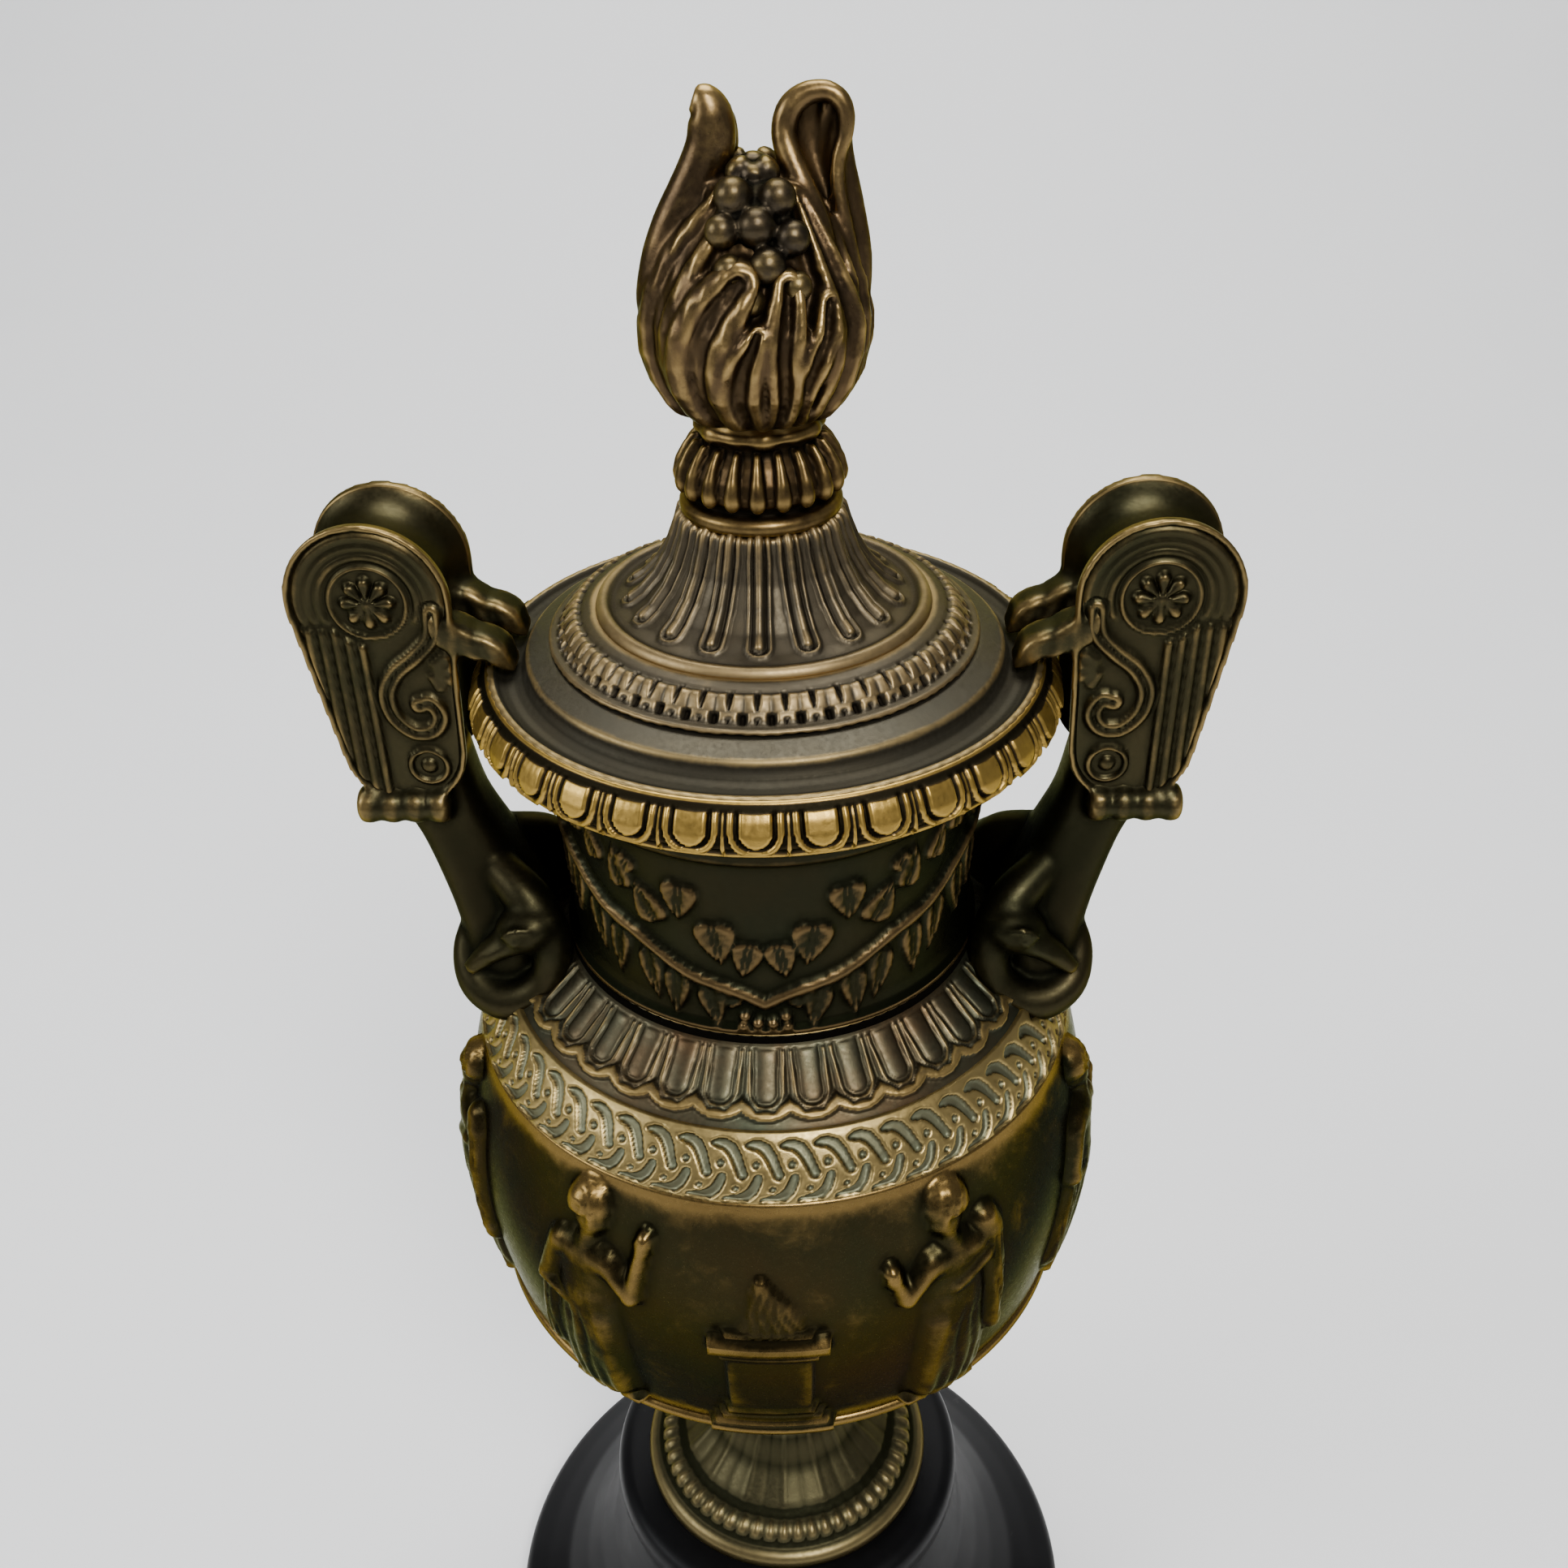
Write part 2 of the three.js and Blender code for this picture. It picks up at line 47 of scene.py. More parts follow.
MM = 0.001
TURN = 2 * math.pi
FINE_STEPS = 4000


def placed(name, data):
    """A new object of the scene that holds the data."""
    thing = bpy.data.objects.new(name, data)
    bpy.context.scene.collection.objects.link(thing)
    return thing


def dressed(name, mesh, material, node):
    """A piece of the urn, in place of the CAD node that it dresses."""
    piece = placed(name, mesh)
    mesh.materials.clear()
    mesh.materials.append(material)
    mesh.shade_smooth()
    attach(piece, "root")
    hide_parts(node)
    return piece


def add_mesh(name, points, faces, material, node, slot):
    """A piece of the urn from points in millimetres."""
    mesh = bpy.data.meshes.new(name)
    mesh.from_pydata((np.asarray(points) * MM).tolist(), [], np.asarray(faces).tolist())
    mesh.validate()
    return dressed(name, mesh, material, node)


def along_profile(profile, count, rounding):
    """Evenly spaced points on a profile of (radius, height), with its corners eased by rounding mm."""
    corners = np.array(profile, float)
    lengths = np.hypot(*np.diff(corners, axis=0).T)
    travel = np.concatenate([[0], np.cumsum(lengths)])
    fine = np.linspace(0, travel[-1], FINE_STEPS)
    path = np.stack([np.interp(fine, travel, corners[:, k]) for k in (0, 1)], 1)
    reach = max(int(rounding / (travel[-1] / FINE_STEPS)), 1)
    window = np.hanning(2 * reach + 3)
    padded = np.concatenate([np.repeat(path[:1], reach + 1, 0), path, np.repeat(path[-1:], reach + 1, 0)])
    eased = np.stack([np.convolve(padded[:, k], window / window.sum(), "valid") for k in (0, 1)], 1)
    eased[0], eased[-1] = path[0], path[-1]
    pick = np.linspace(0, travel[-1], count)
    return np.stack([np.interp(pick, fine, eased[:, k]) for k in (0, 1)], 1), pick


def ring_of(radius, height, columns):
    """A level ring of points round the urn's axis."""
    angle = np.arange(columns) / columns * TURN
    return np.stack([radius * np.sin(angle), -radius * np.cos(angle), np.full(columns, height)], 1)[None]


def closed_band(grid, lining):
    """Points and faces of a grid of rings, closed behind by the rings of a lining [(radius, height)].
    A lining that ends at radius 0 closes to a point there."""
    columns = grid.shape[1]
    rings = [grid] + [ring_of(r, z, columns) for r, z in lining]
    points = np.concatenate(rings)
    rows = len(points)
    row, column = np.meshgrid(np.arange(rows), np.arange(columns), indexing="ij")
    after, above = (column + 1) % columns, (row + 1) % rows
    quads = np.stack([row * columns + column, row * columns + after, above * columns + after,
                      above * columns + column], -1)
    return points.reshape(-1, 3), quads.reshape(-1, 4)


def turned(name, profile, columns, rows, lining, material, node="body", slot="bronze", rounding=0.4,
           relief=None):
    """A piece turned from a profile [(radius, height)] in columns and rows of points, and closed behind
    by its lining. relief(angle, travel, height) lifts the points off the profile, in mm, and is kept for
    the patina. The angle starts at the front, -Y, and grows towards +X."""
    line, travel = along_profile(profile, rows, rounding)
    slope = np.gradient(line, axis=0)
    slope /= np.hypot(*slope.T)[:, None]
    angles, travels = np.meshgrid(np.arange(columns) / columns * TURN, travel)
    heights = np.broadcast_to(line[:, 1:], angles.shape)
    lift = relief(angles, travels, heights) if relief else np.zeros(angles.shape)
    radius = line[:, :1] + lift * slope[:, 1:]
    height = line[:, 1:] - lift * slope[:, :1]
    grid = np.stack([radius * np.sin(angles), -radius * np.cos(angles), height], 2)
    piece = add_mesh(name, *closed_band(grid, lining), material, node, slot)
    if relief:
        piece["lift"] = lift.ravel().tolist()
    return piece


def linear(code):
    """The linear colour of an sRGB hex value."""
    parts = [int(code[i:i + 2], 16) / 255 for i in (0, 2, 4)]
    return [c / 12.92 if c <= 0.04045 else ((c + 0.055) / 1.055) ** 2.4 for c in parts] + [1]


def node_in(tree, kind, settings=(), links=(), sockets=()):
    """Adds one shader node. settings are its properties, sockets its input values, links its inputs."""
    node = tree.nodes.new(kind)
    for key, value in dict(settings).items():
        setattr(node, key, value)
    for key, value in dict(sockets).items():
        node.inputs[key].default_value = value
    for key, source in dict(links).items():
        tree.links.new(source, node.inputs[key])
    return node


def new_material(name):
    """A new material, with its node tree and its shader."""
    material = bpy.data.materials.new(name)
    material.use_nodes = True
    tree = material.node_tree
    return material, tree, tree.nodes["Principled BSDF"]


def polished_black_marble():
    """Polished black marble: near black and glossy, with faint grey clouds, rare thin veins, and
    a dull bloom of dust and old wax, which makes its broad reflections soft."""
    material, tree, shader = new_material("polished_black_marble")
    place = node_in(tree, "ShaderNodeTexCoord").outputs["Object"]
    cloud = node_in(tree, "ShaderNodeTexNoise", links={"Vector": place},
                    sockets={"Scale": 28.0, "Detail": 6.0, "Roughness": 0.6}).outputs["Fac"]
    vein = node_in(tree, "ShaderNodeTexNoise", links={"Vector": place},
                   sockets={"Scale": 60.0, "Detail": 8.0, "Roughness": 0.62, "Distortion": 1.6})
    ground = node_in(tree, "ShaderNodeValToRGB", links={"Fac": cloud})
    for stop, at, code in zip(ground.color_ramp.elements, (0.35, 0.75), ("050506", "0e0e0f")):
        stop.position, stop.color = at, linear(code)
    thread = node_in(tree, "ShaderNodeMapRange", links={"Value": vein.outputs["Fac"]},
                     sockets={"From Min": 0.66, "From Max": 0.74, "To Max": 0.35})
    colour = node_in(tree, "ShaderNodeMix", {"data_type": "RGBA"},
                     {0: thread.outputs["Result"], 6: ground.outputs["Color"]}, {7: linear("3b3a3a")})
    bloom = node_in(tree, "ShaderNodeMapRange", links={"Value": cloud},
                    sockets={"From Min": 0.3, "From Max": 0.75, "To Min": 0.34, "To Max": 0.5})
    tree.links.new(colour.outputs[2], shader.inputs["Base Color"])
    tree.links.new(bloom.outputs["Result"], shader.inputs["Roughness"])
    shader.inputs["IOR"].default_value = 1.49
    shader.inputs["Specular IOR Level"].default_value = 0.12
    return material


marble = polished_black_marble()
turned("marble_plinth", [(79.4, 0), (80.4, 1.4), (80.4, 8.6), (79.2, 10.6), (73, 14), (66, 18.5),
       (59.6, 25.6), (55, 32), (50.4, 40.4), (47.4, 49), (45.6, 55.4), (45.2, 59.8), (46, 61.8),
       (47.4, 63.4), (47.5, 68.4), (46.6, 70.6), (44.6, 71.8), (42.3, 72)], 144, 80,
       [(20, 72), (0.02, 72), (0.02, 0), (40, 0)], marble, "plinth", "black_marble", rounding=1.2)


# ---------------------------------------------------------------- foot
# A hollow bronze casting, turned and lightly chased: a rounded base moulding, a ring of small
# upright leaf tips, a dome with long soft leaves, and a waisted stem. It is bolted to the plinth.

def smoothed(points, edges, passes):
    """Points moved to the mean of themselves and their neighbours, passes times."""
    ends = np.concatenate([edges, edges[:, ::-1]])
    share = np.bincount(ends[:, 0], minlength=len(points))[:, None] + 1
    for _ in range(passes):
        around = np.stack([np.bincount(ends[:, 0], points[ends[:, 1], k], len(points)) for k in range(3)], 1)
        points = (points + around) / share
    return points


def values_of(parts, key, width, kind=float):
    """One property of all the parts of a mesh, in rows of width."""
    values = np.empty(len(parts) * width, kind)
    parts.foreach_get(key, values)
    return values.reshape(-1, width)


def store_wear_and_shade(piece, passes=10, plateaus=0.0, shade_and_wear_by_height=None):
    """Stores how far each point stands proud of the form around it, in mm, for the patina: what stands
    proud is rubbed, and what sinks below takes the hollow colour of painted shade and dirt. A share,
    plateaus, of the relief's own height is added, for broad flat faces that hands rub all over, and a
    function of the heights adds more where the piece is held most, or takes some away to paint shade
    where the piece lies in shadow."""
    mesh = piece.data
    points = values_of(mesh.vertices, "co", 3) / MM
    pairs = values_of(mesh.edges, "vertices", 2, np.int32)
    off_form = points - smoothed(points, pairs, passes)
    proud = (off_form * values_of(mesh.vertex_normals, "vector", 3)).sum(1)
    if plateaus:
        proud[:len(piece["lift"])] += plateaus * np.array(piece["lift"])
    if shade_and_wear_by_height:
        proud += shade_and_wear_by_height(points[:, 2])
    if "lift" in piece:
        del piece["lift"]
    store = mesh.attributes.new("proud", "FLOAT", "POINT")
    store.data.foreach_set("value", proud.astype(np.float32))


def patinated_bronze(name, deep, patina, second, rubbed, rub_from, rub_to, rub_most=0.85, deep_at=0.3,
                     shine=0.4, spread=26.0):
    """Cast bronze with a chemical patina, rubbed by hands for many years. deep is the colour laid into
    hollows deep_at mm below the form: a dark deep is painted shade together with old dirt and wax, a
    pale one is crust. patina and second are the two tones of the brown skin, with spread patches to a
    metre. rubbed is the metal where the skin has worn thin, from rub_from to rub_to mm proud. Small
    blots break up the wear, the cast grain dulls the shine, and a grey-green edge tint keeps the
    reflections quiet where the bronze turns away."""
    material, tree, shader = new_material(name)
    place = node_in(tree, "ShaderNodeTexCoord").outputs["Object"]
    proud = node_in(tree, "ShaderNodeAttribute", {"attribute_name": "proud"}).outputs["Fac"]
    patches, blots, speckle = [
        node_in(tree, "ShaderNodeTexNoise", links={"Vector": place}, sockets={
            "Scale": scale, "Detail": detail, "Roughness": rough, "Distortion": twist}).outputs["Fac"]
        for scale, detail, rough, twist in ((spread, 7, 0.62, 0), (95, 8, 0.7, 0.4), (1100, 4, 0.6, 0))]
    tone = node_in(tree, "ShaderNodeMapRange", links={"Value": patches},
                   sockets={"From Min": 0.36, "From Max": 0.66})
    skin = node_in(tree, "ShaderNodeMix", {"data_type": "RGBA"}, {0: tone.outputs["Result"]},
                   {6: linear(patina), 7: linear(second)})
    # Hollows below the form take the deep colour: where it is dark, it is painted shade together with old dirt and
    # wax.
    hollow = node_in(tree, "ShaderNodeMapRange", links={"Value": proud},
                     sockets={"From Min": -0.02, "From Max": -deep_at})
    dark = node_in(tree, "ShaderNodeMix", {"data_type": "RGBA"},
                   {0: hollow.outputs["Result"], 6: skin.outputs[2]}, {7: linear(deep)})
    wear = rub_to - rub_from
    uneven = node_in(tree, "ShaderNodeMapRange", links={"Value": blots},
                     sockets={"From Min": 0.3, "From Max": 0.7, "To Min": -0.35 * wear, "To Max": 0.3 * wear})
    shifted = node_in(tree, "ShaderNodeMath", {"operation": "ADD"}, {0: proud, 1: uneven.outputs["Result"]})
    worn = node_in(tree, "ShaderNodeMapRange", {"interpolation_type": "SMOOTHSTEP"},
                   {"Value": shifted.outputs[0]},
                   {"From Min": rub_from, "From Max": rub_to, "To Max": rub_most})
    tarnish = node_in(tree, "ShaderNodeMapRange", links={"Value": patches},
                      sockets={"From Min": 0.42, "From Max": 0.7, "To Max": 0.5})
    metal_tone = node_in(tree, "ShaderNodeMix", {"data_type": "RGBA"}, {0: tarnish.outputs["Result"]},
                         {6: linear(rubbed), 7: linear(second)})
    colour = node_in(tree, "ShaderNodeMix", {"data_type": "RGBA"},
                     {0: worn.outputs["Result"], 6: dark.outputs[2], 7: metal_tone.outputs[2]})
    rough = node_in(tree, "ShaderNodeMapRange", links={"Value": speckle},
                    sockets={"From Min": 0.25, "From Max": 0.75, "To Min": shine - 0.05,
                             "To Max": shine + 0.12})
    duller = node_in(tree, "ShaderNodeMath", {"operation": "MULTIPLY_ADD"},
                     {0: hollow.outputs["Result"], 2: rough.outputs["Result"]}, {1: 0.22})
    grain = node_in(tree, "ShaderNodeBump", links={"Height": blots},
                    sockets={"Strength": 0.2, "Distance": 0.4 * MM})
    pitting = node_in(tree, "ShaderNodeBump", links={"Height": speckle, "Normal": grain.outputs[0]},
                      sockets={"Strength": 0.12, "Distance": 0.1 * MM})
    tree.links.new(colour.outputs[2], shader.inputs["Base Color"])
    tree.links.new(duller.outputs[0], shader.inputs["Roughness"])
    tree.links.new(pitting.outputs[0], shader.inputs["Normal"])
    shader.inputs["Metallic"].default_value = 0.95
    shader.inputs["Specular Tint"].default_value = linear("a8ab8a")
    return material


def ease(x):
    """0 up to 0, 1 from 1, and a soft rise between."""
    x = np.clip(x, 0, 1)
    return x * x * (3 - 2 * x)


def within(value, low, rise, high, fall):
    """1 between low and high: it comes up in rise mm after low, and is gone fall mm after high."""
    return ease((value - low) / rise) * (1 - ease((value - high) / fall))


def dome(distance, width):
    """A round-backed ridge: 1 on its line, falling to 0 at width from it."""
    return np.sqrt(np.clip(1 - (distance / width) ** 2, 0, 1))


def repeat(angle, count):
    """Place across a repeated ornament: 0 in its middle, -0.5 and 0.5 at its two sides."""
    turns = angle * count / TURN
    return turns - np.floor(turns + 0.5)


foot_bronze = patinated_bronze("dull_gold_brown_bronze", "1f1f14", "45422e", "4b4530", "887850", 0.12, 0.7,
                               rub_most=0.65, shine=0.36)


def foot_relief(angle, travel, height):
    """Leaf tips stand on the flange, and sixteen long leaves with midribs climb the dome."""
    tip = repeat(angle, 56) * 2
    low = within(height, 77.4, 0.6, 80.6, 0.8)
    tips = 0.6 * dome(np.abs(tip), 0.86 - 0.5 * np.clip((height - 78.6) / 2, 0, 1)) * low
    leaf = repeat(angle, 16) * 2
    on_dome = within(height, 81.4, 1.4, 103, 12)
    blade = 0.5 * dome(np.abs(leaf), 1.06) + 0.22 * dome(np.abs(leaf), 0.2)
    return tips + on_dome * blade


store_wear_and_shade(turned("bronze_foot", [(38.2, 72.3), (38.5, 73.4), (38.3, 75), (37.2, 76.4), (35, 77), (34, 77.4),
               (33.6, 79.4), (31.6, 80.8), (28.8, 81.4), (26.4, 83.6), (20.5, 89.5), (16.6, 96), (14.4, 103),
               (12.8, 110), (12.6, 114), (13.6, 116), (16, 118), (16.2, 120.6), (14, 122.6), (13.4, 126),
               (14.6, 130), (17.4, 134), (22.6, 137.4), (23, 139.6)], 336, 60,
               [(9, 139.6), (8.6, 118), (13.6, 93), (25.4, 78), (34.6, 72.4)],
               foot_bronze, "foot", rounding=0.7, relief=foot_relief))


# ---------------------------------------------------------------- body: bowl and ledge
# The urn's body is cast in one and chased by hand. Below the frieze the bowl is gadrooned, and a
# thin ledge runs round its top as the ground line that the figures stand on.

olive_bronze = patinated_bronze("olive_brown_bronze", "10110b", "202315", "2f2514", "8a7040", 0.02, 1.4,
                                rub_most=0.75, deep_at=1.6, shine=0.26, spread=17.0)


def bowl_relief(angle, travel, height):
    """Twenty-four round-backed gadroons."""
    lobes = within(height, 142.8, 2, 168.6, 2)
    across = np.abs(repeat(angle, 24)) * 2
    return lobes * (1.8 * dome(across, 1.04) - 0.5)


store_wear_and_shade(turned("bronze_bowl", [(22.8, 140), (25.4, 140.6), (25.6, 142.2), (27, 143.2), (32, 145),
               (39.6, 148.8), (47, 153.5), (53.6, 159), (58.5, 165), (61.6, 170), (62.4, 171.6),
               (64.4, 172.2), (66.2, 173), (66.4, 174.6), (65.8, 175.4), (64.6, 175.8)], 288, 40,
               [(60, 172), (52, 160), (24, 146), (14, 141)], olive_bronze, relief=bowl_relief))


# ---------------------------------------------------------------- body: figure frieze
# A band of classical figures in low relief goes round the belly: men and women in loose drapery
# stand on the ledge on both sides of a small fire altar. The ground between them is smooth.

BELLY = 69.6
LEDGE, FRIEZE_TOP = 175.2, 240.2
FIGURE_REACH = 19


def belly_radius(height):
    """The belly's radius: a full curve between the ledge and the guilloche band."""
    part = (height - 174.5) / 65.5
    chord = 65.2 - 1.4 * part
    return chord + (69.4 - chord) * np.sin(np.pi * np.clip(part, 0, 1)) ** 0.9


def from_line(x, y, start, end):
    """How far along a straight line each place lies, from 0 to 1, and how far off it."""
    dx, dy = end[0] - start[0], end[1] - start[1]
    along = np.clip(((x - start[0]) * dx + (y - start[1]) * dy) / (dx * dx + dy * dy), 0, 1)
    return along, np.hypot(x - start[0] - along * dx, y - start[1] - along * dy)


def limb(s, z, start, end, start_width, end_width, height):
    """A round limb in relief, from start to end, with its own width at each end."""
    along, distance = from_line(s, z, start, end)
    width = 1.12 * (start_width + (end_width - start_width) * along)
    return height * np.clip(1 - (distance / width) ** 2, 0, 1) ** 0.72


def merged(*reliefs, soft=0.5):
    """The highest of several reliefs, with the joins filled a little as in a cast."""
    total = reliefs[0]
    for other in reliefs[1:]:
        blend = np.clip(0.5 + 0.5 * (other - total) / soft, 0, 1)
        fill = soft * blend * (1 - blend) * np.clip(np.minimum(total, other) / soft, 0, 1)
        total = np.maximum(total, other) + fill
    return total


def folds(s, z, lean, spacing):
    """Hanging folds of cloth: sharp-backed ridges that fan out downwards."""
    across = s / (1 + 0.012 * (40 - z)) + lean * z + 0.5 * np.sin(z * 0.21 + s * 0.3)
    return np.abs(np.sin(across * np.pi / spacing)) ** 0.8


def figure(s, z, side, raised, draped, curls):
    """One standing figure, feet at z = 0 on the line s = 0, turned to side, with one arm raised."""
    x = s * side
    tilt = 1.6 * side
    skull = limb(s, z, (tilt, 54.4), (tilt + 0.4 * side, 57), 3.9, 3.9, 3.2)
    hair_line = np.hypot(s - tilt + 0.8 * side, z - 57.2)
    hair = 3.8 * dome(hair_line, 5.4) * ease((z - 54.2) / 1.4)
    waves = np.sin(s * 2.1 + z) * np.sin(z * 2.1 - s) if curls else np.sin(2.2 * hair_line + (s - tilt) * 1.4)
    face_x = (s - tilt - 1.2 * side) * side
    nose = 0.6 * dome(face_x - 0.4, 0.8) * dome(z - 55, 1.6)
    chin = 0.3 * dome(np.hypot(face_x, z - 52.2), 1.3)
    head = merged(skull, hair * (1 + 0.09 * waves), soft=0.5) + (z < 56.6) * (nose + chin) * (skull > 0.4)
    hand = 35 + 17 * raised
    neck = limb(s, z, (0.8 * side, 47), (tilt, 52), 2.6, 2.4, 2.6)
    shoulders = limb(x, z, (-5, 45), (5, 45), 3.5, 3.5, 2.9)
    chest = limb(x, z, (0, 43), (-0.5, 32), 6.9, 6.2, 3.0)
    robe = limb(x, z, (-0.6, 32), (-1, 6), 6.8, 9.2, 2.9) * (0.86 + 0.2 * folds(x, z, 0.03, 2.7))
    knee = limb(x, z, (2.8, 28), (5, 5), 3.7, 2.9, 3.1)
    toes = limb(x, z, (5, 1.6), (8.6, 1), 1.8, 1.3, 2.4)
    other_toes = limb(x, z, (-4.6, 1.6), (-8, 1), 1.8, 1.3, 2.3)
    arm = limb(x, z, (6, 44.6), (11.2, 38.8), 2.9, 2.3, 2.9)
    forearm = limb(x, z, (11.2, 38.8), (13.8, hand), 2.3, 1.7, 2.7)
    fist = limb(x, z, (13.8, hand), (14.3, hand + 2.2), 2.2, 1.9, 2.6)
    fingers = 0.5 * np.abs(np.sin((x + 0.4 * z) * 2.6)) * (fist > 0.6) * (z > hand + 0.6)
    body = merged(chest, shoulders, robe, neck, knee, toes, other_toes, soft=0.9)
    if draped:
        bundle = limb(x, z, (-8.6, 47), (-8, 49.4), 3.7, 3.3, 2.9)
        fall = limb(x, z, (-9.2, 46), (-10.4, 20), 3.0, 2.5, 2.7) * (0.84 + 0.26 * folds(x, z, 0.02, 1.7))
        knob = limb(x, z, (-10.8, 18.6), (-11, 17.6), 2.9, 2.6, 2.9)
        other_arm = limb(x, z, (-6.4, 42), (1, 38.4), 2.5, 2.0, 3.5)
        body = merged(body, bundle, fall, knob, soft=0.7)
    else:
        sleeve = limb(x, z, (-6, 44.6), (-9.8, 34), 3.1, 2.5, 2.9)
        other_arm = merged(sleeve, limb(x, z, (-9.8, 34), (-3.6, 31.6), 2.3, 1.8, 3.3))
        cloak = limb(x, z, (-8.4, 36), (-11.6, 12), 2.8, 4.4, 2.2) * (0.84 + 0.26 * folds(x, z, 0.05, 1.8))
        body = merged(body, cloak, soft=0.7)
    return merged(body, arm, forearm, fist + fingers, other_arm, head, soft=0.7)


def altar(s, z):
    """A stepped altar with moulded edges, and flames of wavy strands that narrow to a point."""
    def slab(low, high, half, height):
        edge = np.minimum(np.minimum(z - low, high - z), half - np.abs(s))
        return height * ease(edge / 0.9)
    stone = np.maximum.reduce([
        slab(-1, 2.4, 14, 2.8), slab(2, 4.2, 12.8, 2.4), slab(3.8, 6.2, 11.4, 2.1), slab(5.8, 9, 10, 1.8),
        slab(5.8, 28, 9, 1.5), slab(26.6, 29.4, 10.4, 2.1), slab(29, 33.4, 12.6, 2.9),
        slab(33, 35, 9.4, 1.8)])
    rise = np.clip((z - 34) / 15, 0, 1)
    half = 7.4 * (1 - rise) ** 0.7 + 0.2
    strands = np.abs(np.sin((s - 0.9 * np.sin(z * 0.55 + 1) + 0.05 * s * (z - 34)) * 1.25))
    fire = (0.9 + 0.8 * strands) * dome(s - 1.2 * np.sin(rise * 5), half) * ease((z - 33.6) / 1) * (z < 49.4)
    return np.maximum(stone, fire)


# angle from the front, side it turns to, lift of its arm, whether it is draped, whether it has curls
FIGURES = [(-32, 1, 1.0, False, False), (32, -1, 0.55, True, True), (-74, -1, 0.2, True, False),
           (74, 1, 0.4, False, True), (-116, 1, 0.8, True, True), (116, -1, 0.05, True, False),
           (-158, 1, 0.3, False, True), (158, -1, 0.9, True, False)]


def frieze_relief(angle, travel, height):
    """The altar on the front, and the figures round the rest of the belly."""
    turn = np.where(angle > np.pi, angle - TURN, angle)
    level = height - LEDGE - 0.6
    lift = altar(turn * BELLY, level)
    for degrees, side, raised, draped, curls in FIGURES:
        s = (turn - math.radians(degrees)) * BELLY
        near = np.abs(s) < FIGURE_REACH
        if near.any():
            shape = figure(s, level, side, raised, draped, curls)
            lift = np.where(near, np.maximum(lift, shape), lift)
    return np.maximum(lift, 0) * ease((FRIEZE_TOP - 0.4 - height) / 2.4)


belly = [(belly_radius(z), z) for z in np.linspace(LEDGE, FRIEZE_TOP, 40)]
store_wear_and_shade(turned("bronze_frieze", belly, 640, 84, [(61, 240), (65.4, 225), (66, 205), (62, 176)],
               olive_bronze, relief=frieze_relief), passes=22,
        shade_and_wear_by_height=lambda heights: 0.45 * ease((heights - 231) / 10) + 0.6 * ease((LEDGE + 6 - heights) / 5))


# ---------------------------------------------------------------- body: guilloche band
# The shoulder starts with a sloping band of running comma scrolls in two rows. Its raised ribbons
# are brushed and rubbed gold-brown, and a pale grey-green crust lies on the floors of its hollows.

band_bronze = patinated_bronze("brushed_gold_brown_bronze", "7d826b", "4e4a34", "5e4f2f", "ac9660", -0.06,
                               0.16, rub_most=0.85, deep_at=0.7, shine=0.33)


def line_ridge(distance, width):
    """A fine raised line, width mm wide in all."""
    return dome(distance, width / 2)


def scoop(x, y, path, lip=0.45):
    """A scooped hollow along a curve of [x, y, half width]: 1 in the hollow, 0 outside its lip."""
    inside = np.full(x.shape, -np.inf)
    for a, b in zip(path[:-1], path[1:]):
        along, distance = from_line(x, y, a, b)
        inside = np.maximum(inside, a[2] + (b[2] - a[2]) * along - distance)
    return ease((inside + lip / 2) / lip)


def guilloche_relief(angle, travel, height):
    """Two rows of comma-shaped hollows that run opposite ways, with a dimple between each pair."""
    upper = [(-3.5, 12, 0.45), (-2.4, 12.1, 0.85), (-1.2, 12, 1.0), (0.2, 11.2, 1.15), (1.2, 9.8, 1.1),
             (1.9, 8.2, 1.0), (2.6, 6.5, 0.95)]
    lower = [(-3.5, 1.5, 0.35), (-2.2, 1.6, 0.7), (-0.8, 1.7, 0.9), (0.6, 2.2, 1.05), (1.7, 3.2, 1.0),
             (2.4, 4.5, 0.95), (2.9, 5.7, 0.85)]
    x = repeat(angle, 56) * 7.0
    hollow = np.zeros(x.shape)
    for across in (x + 7, x, x - 7):
        hollow = np.maximum.reduce([
            hollow, scoop(across, travel, upper), scoop(across - 2.7, travel, lower),
            0.7 * ease((0.85 - np.hypot(across + 1.8, travel - 8.4)) / 0.4),
            0.7 * ease((0.75 - np.hypot(across - 1.4, travel - 3.7)) / 0.4)])
    brushing = 0.02 * np.sin(travel * 17 + 2 * np.sin(angle * 31))
    return brushing - 1.15 * hollow


store_wear_and_shade(turned("bronze_guilloche_band", [(63.4, 240), (64.1, 240.4), (63.4, 242.2), (60.8, 246.4),
               (57.4, 250.6), (56.3, 251.5)], 896, 38, [(52, 250), (60, 239.8)], band_bronze, rounding=0.5,
               relief=guilloche_relief), plateaus=0.1)


# ---------------------------------------------------------------- body: tongues
# Above the band a scalloped gold edge stands over a groove, and thirty-six long smooth tongues, each
# inside a raised rounded outline, close the shoulder up to the neck. Their round ends are rubbed.

tongue_bronze = patinated_bronze("smooth_slate_green_bronze", "1b1d15", "474a3b", "503f2c", "9c8450", 0.16,
                                 0.46, rub_most=0.85, deep_at=0.9, shine=0.38, spread=34.0)


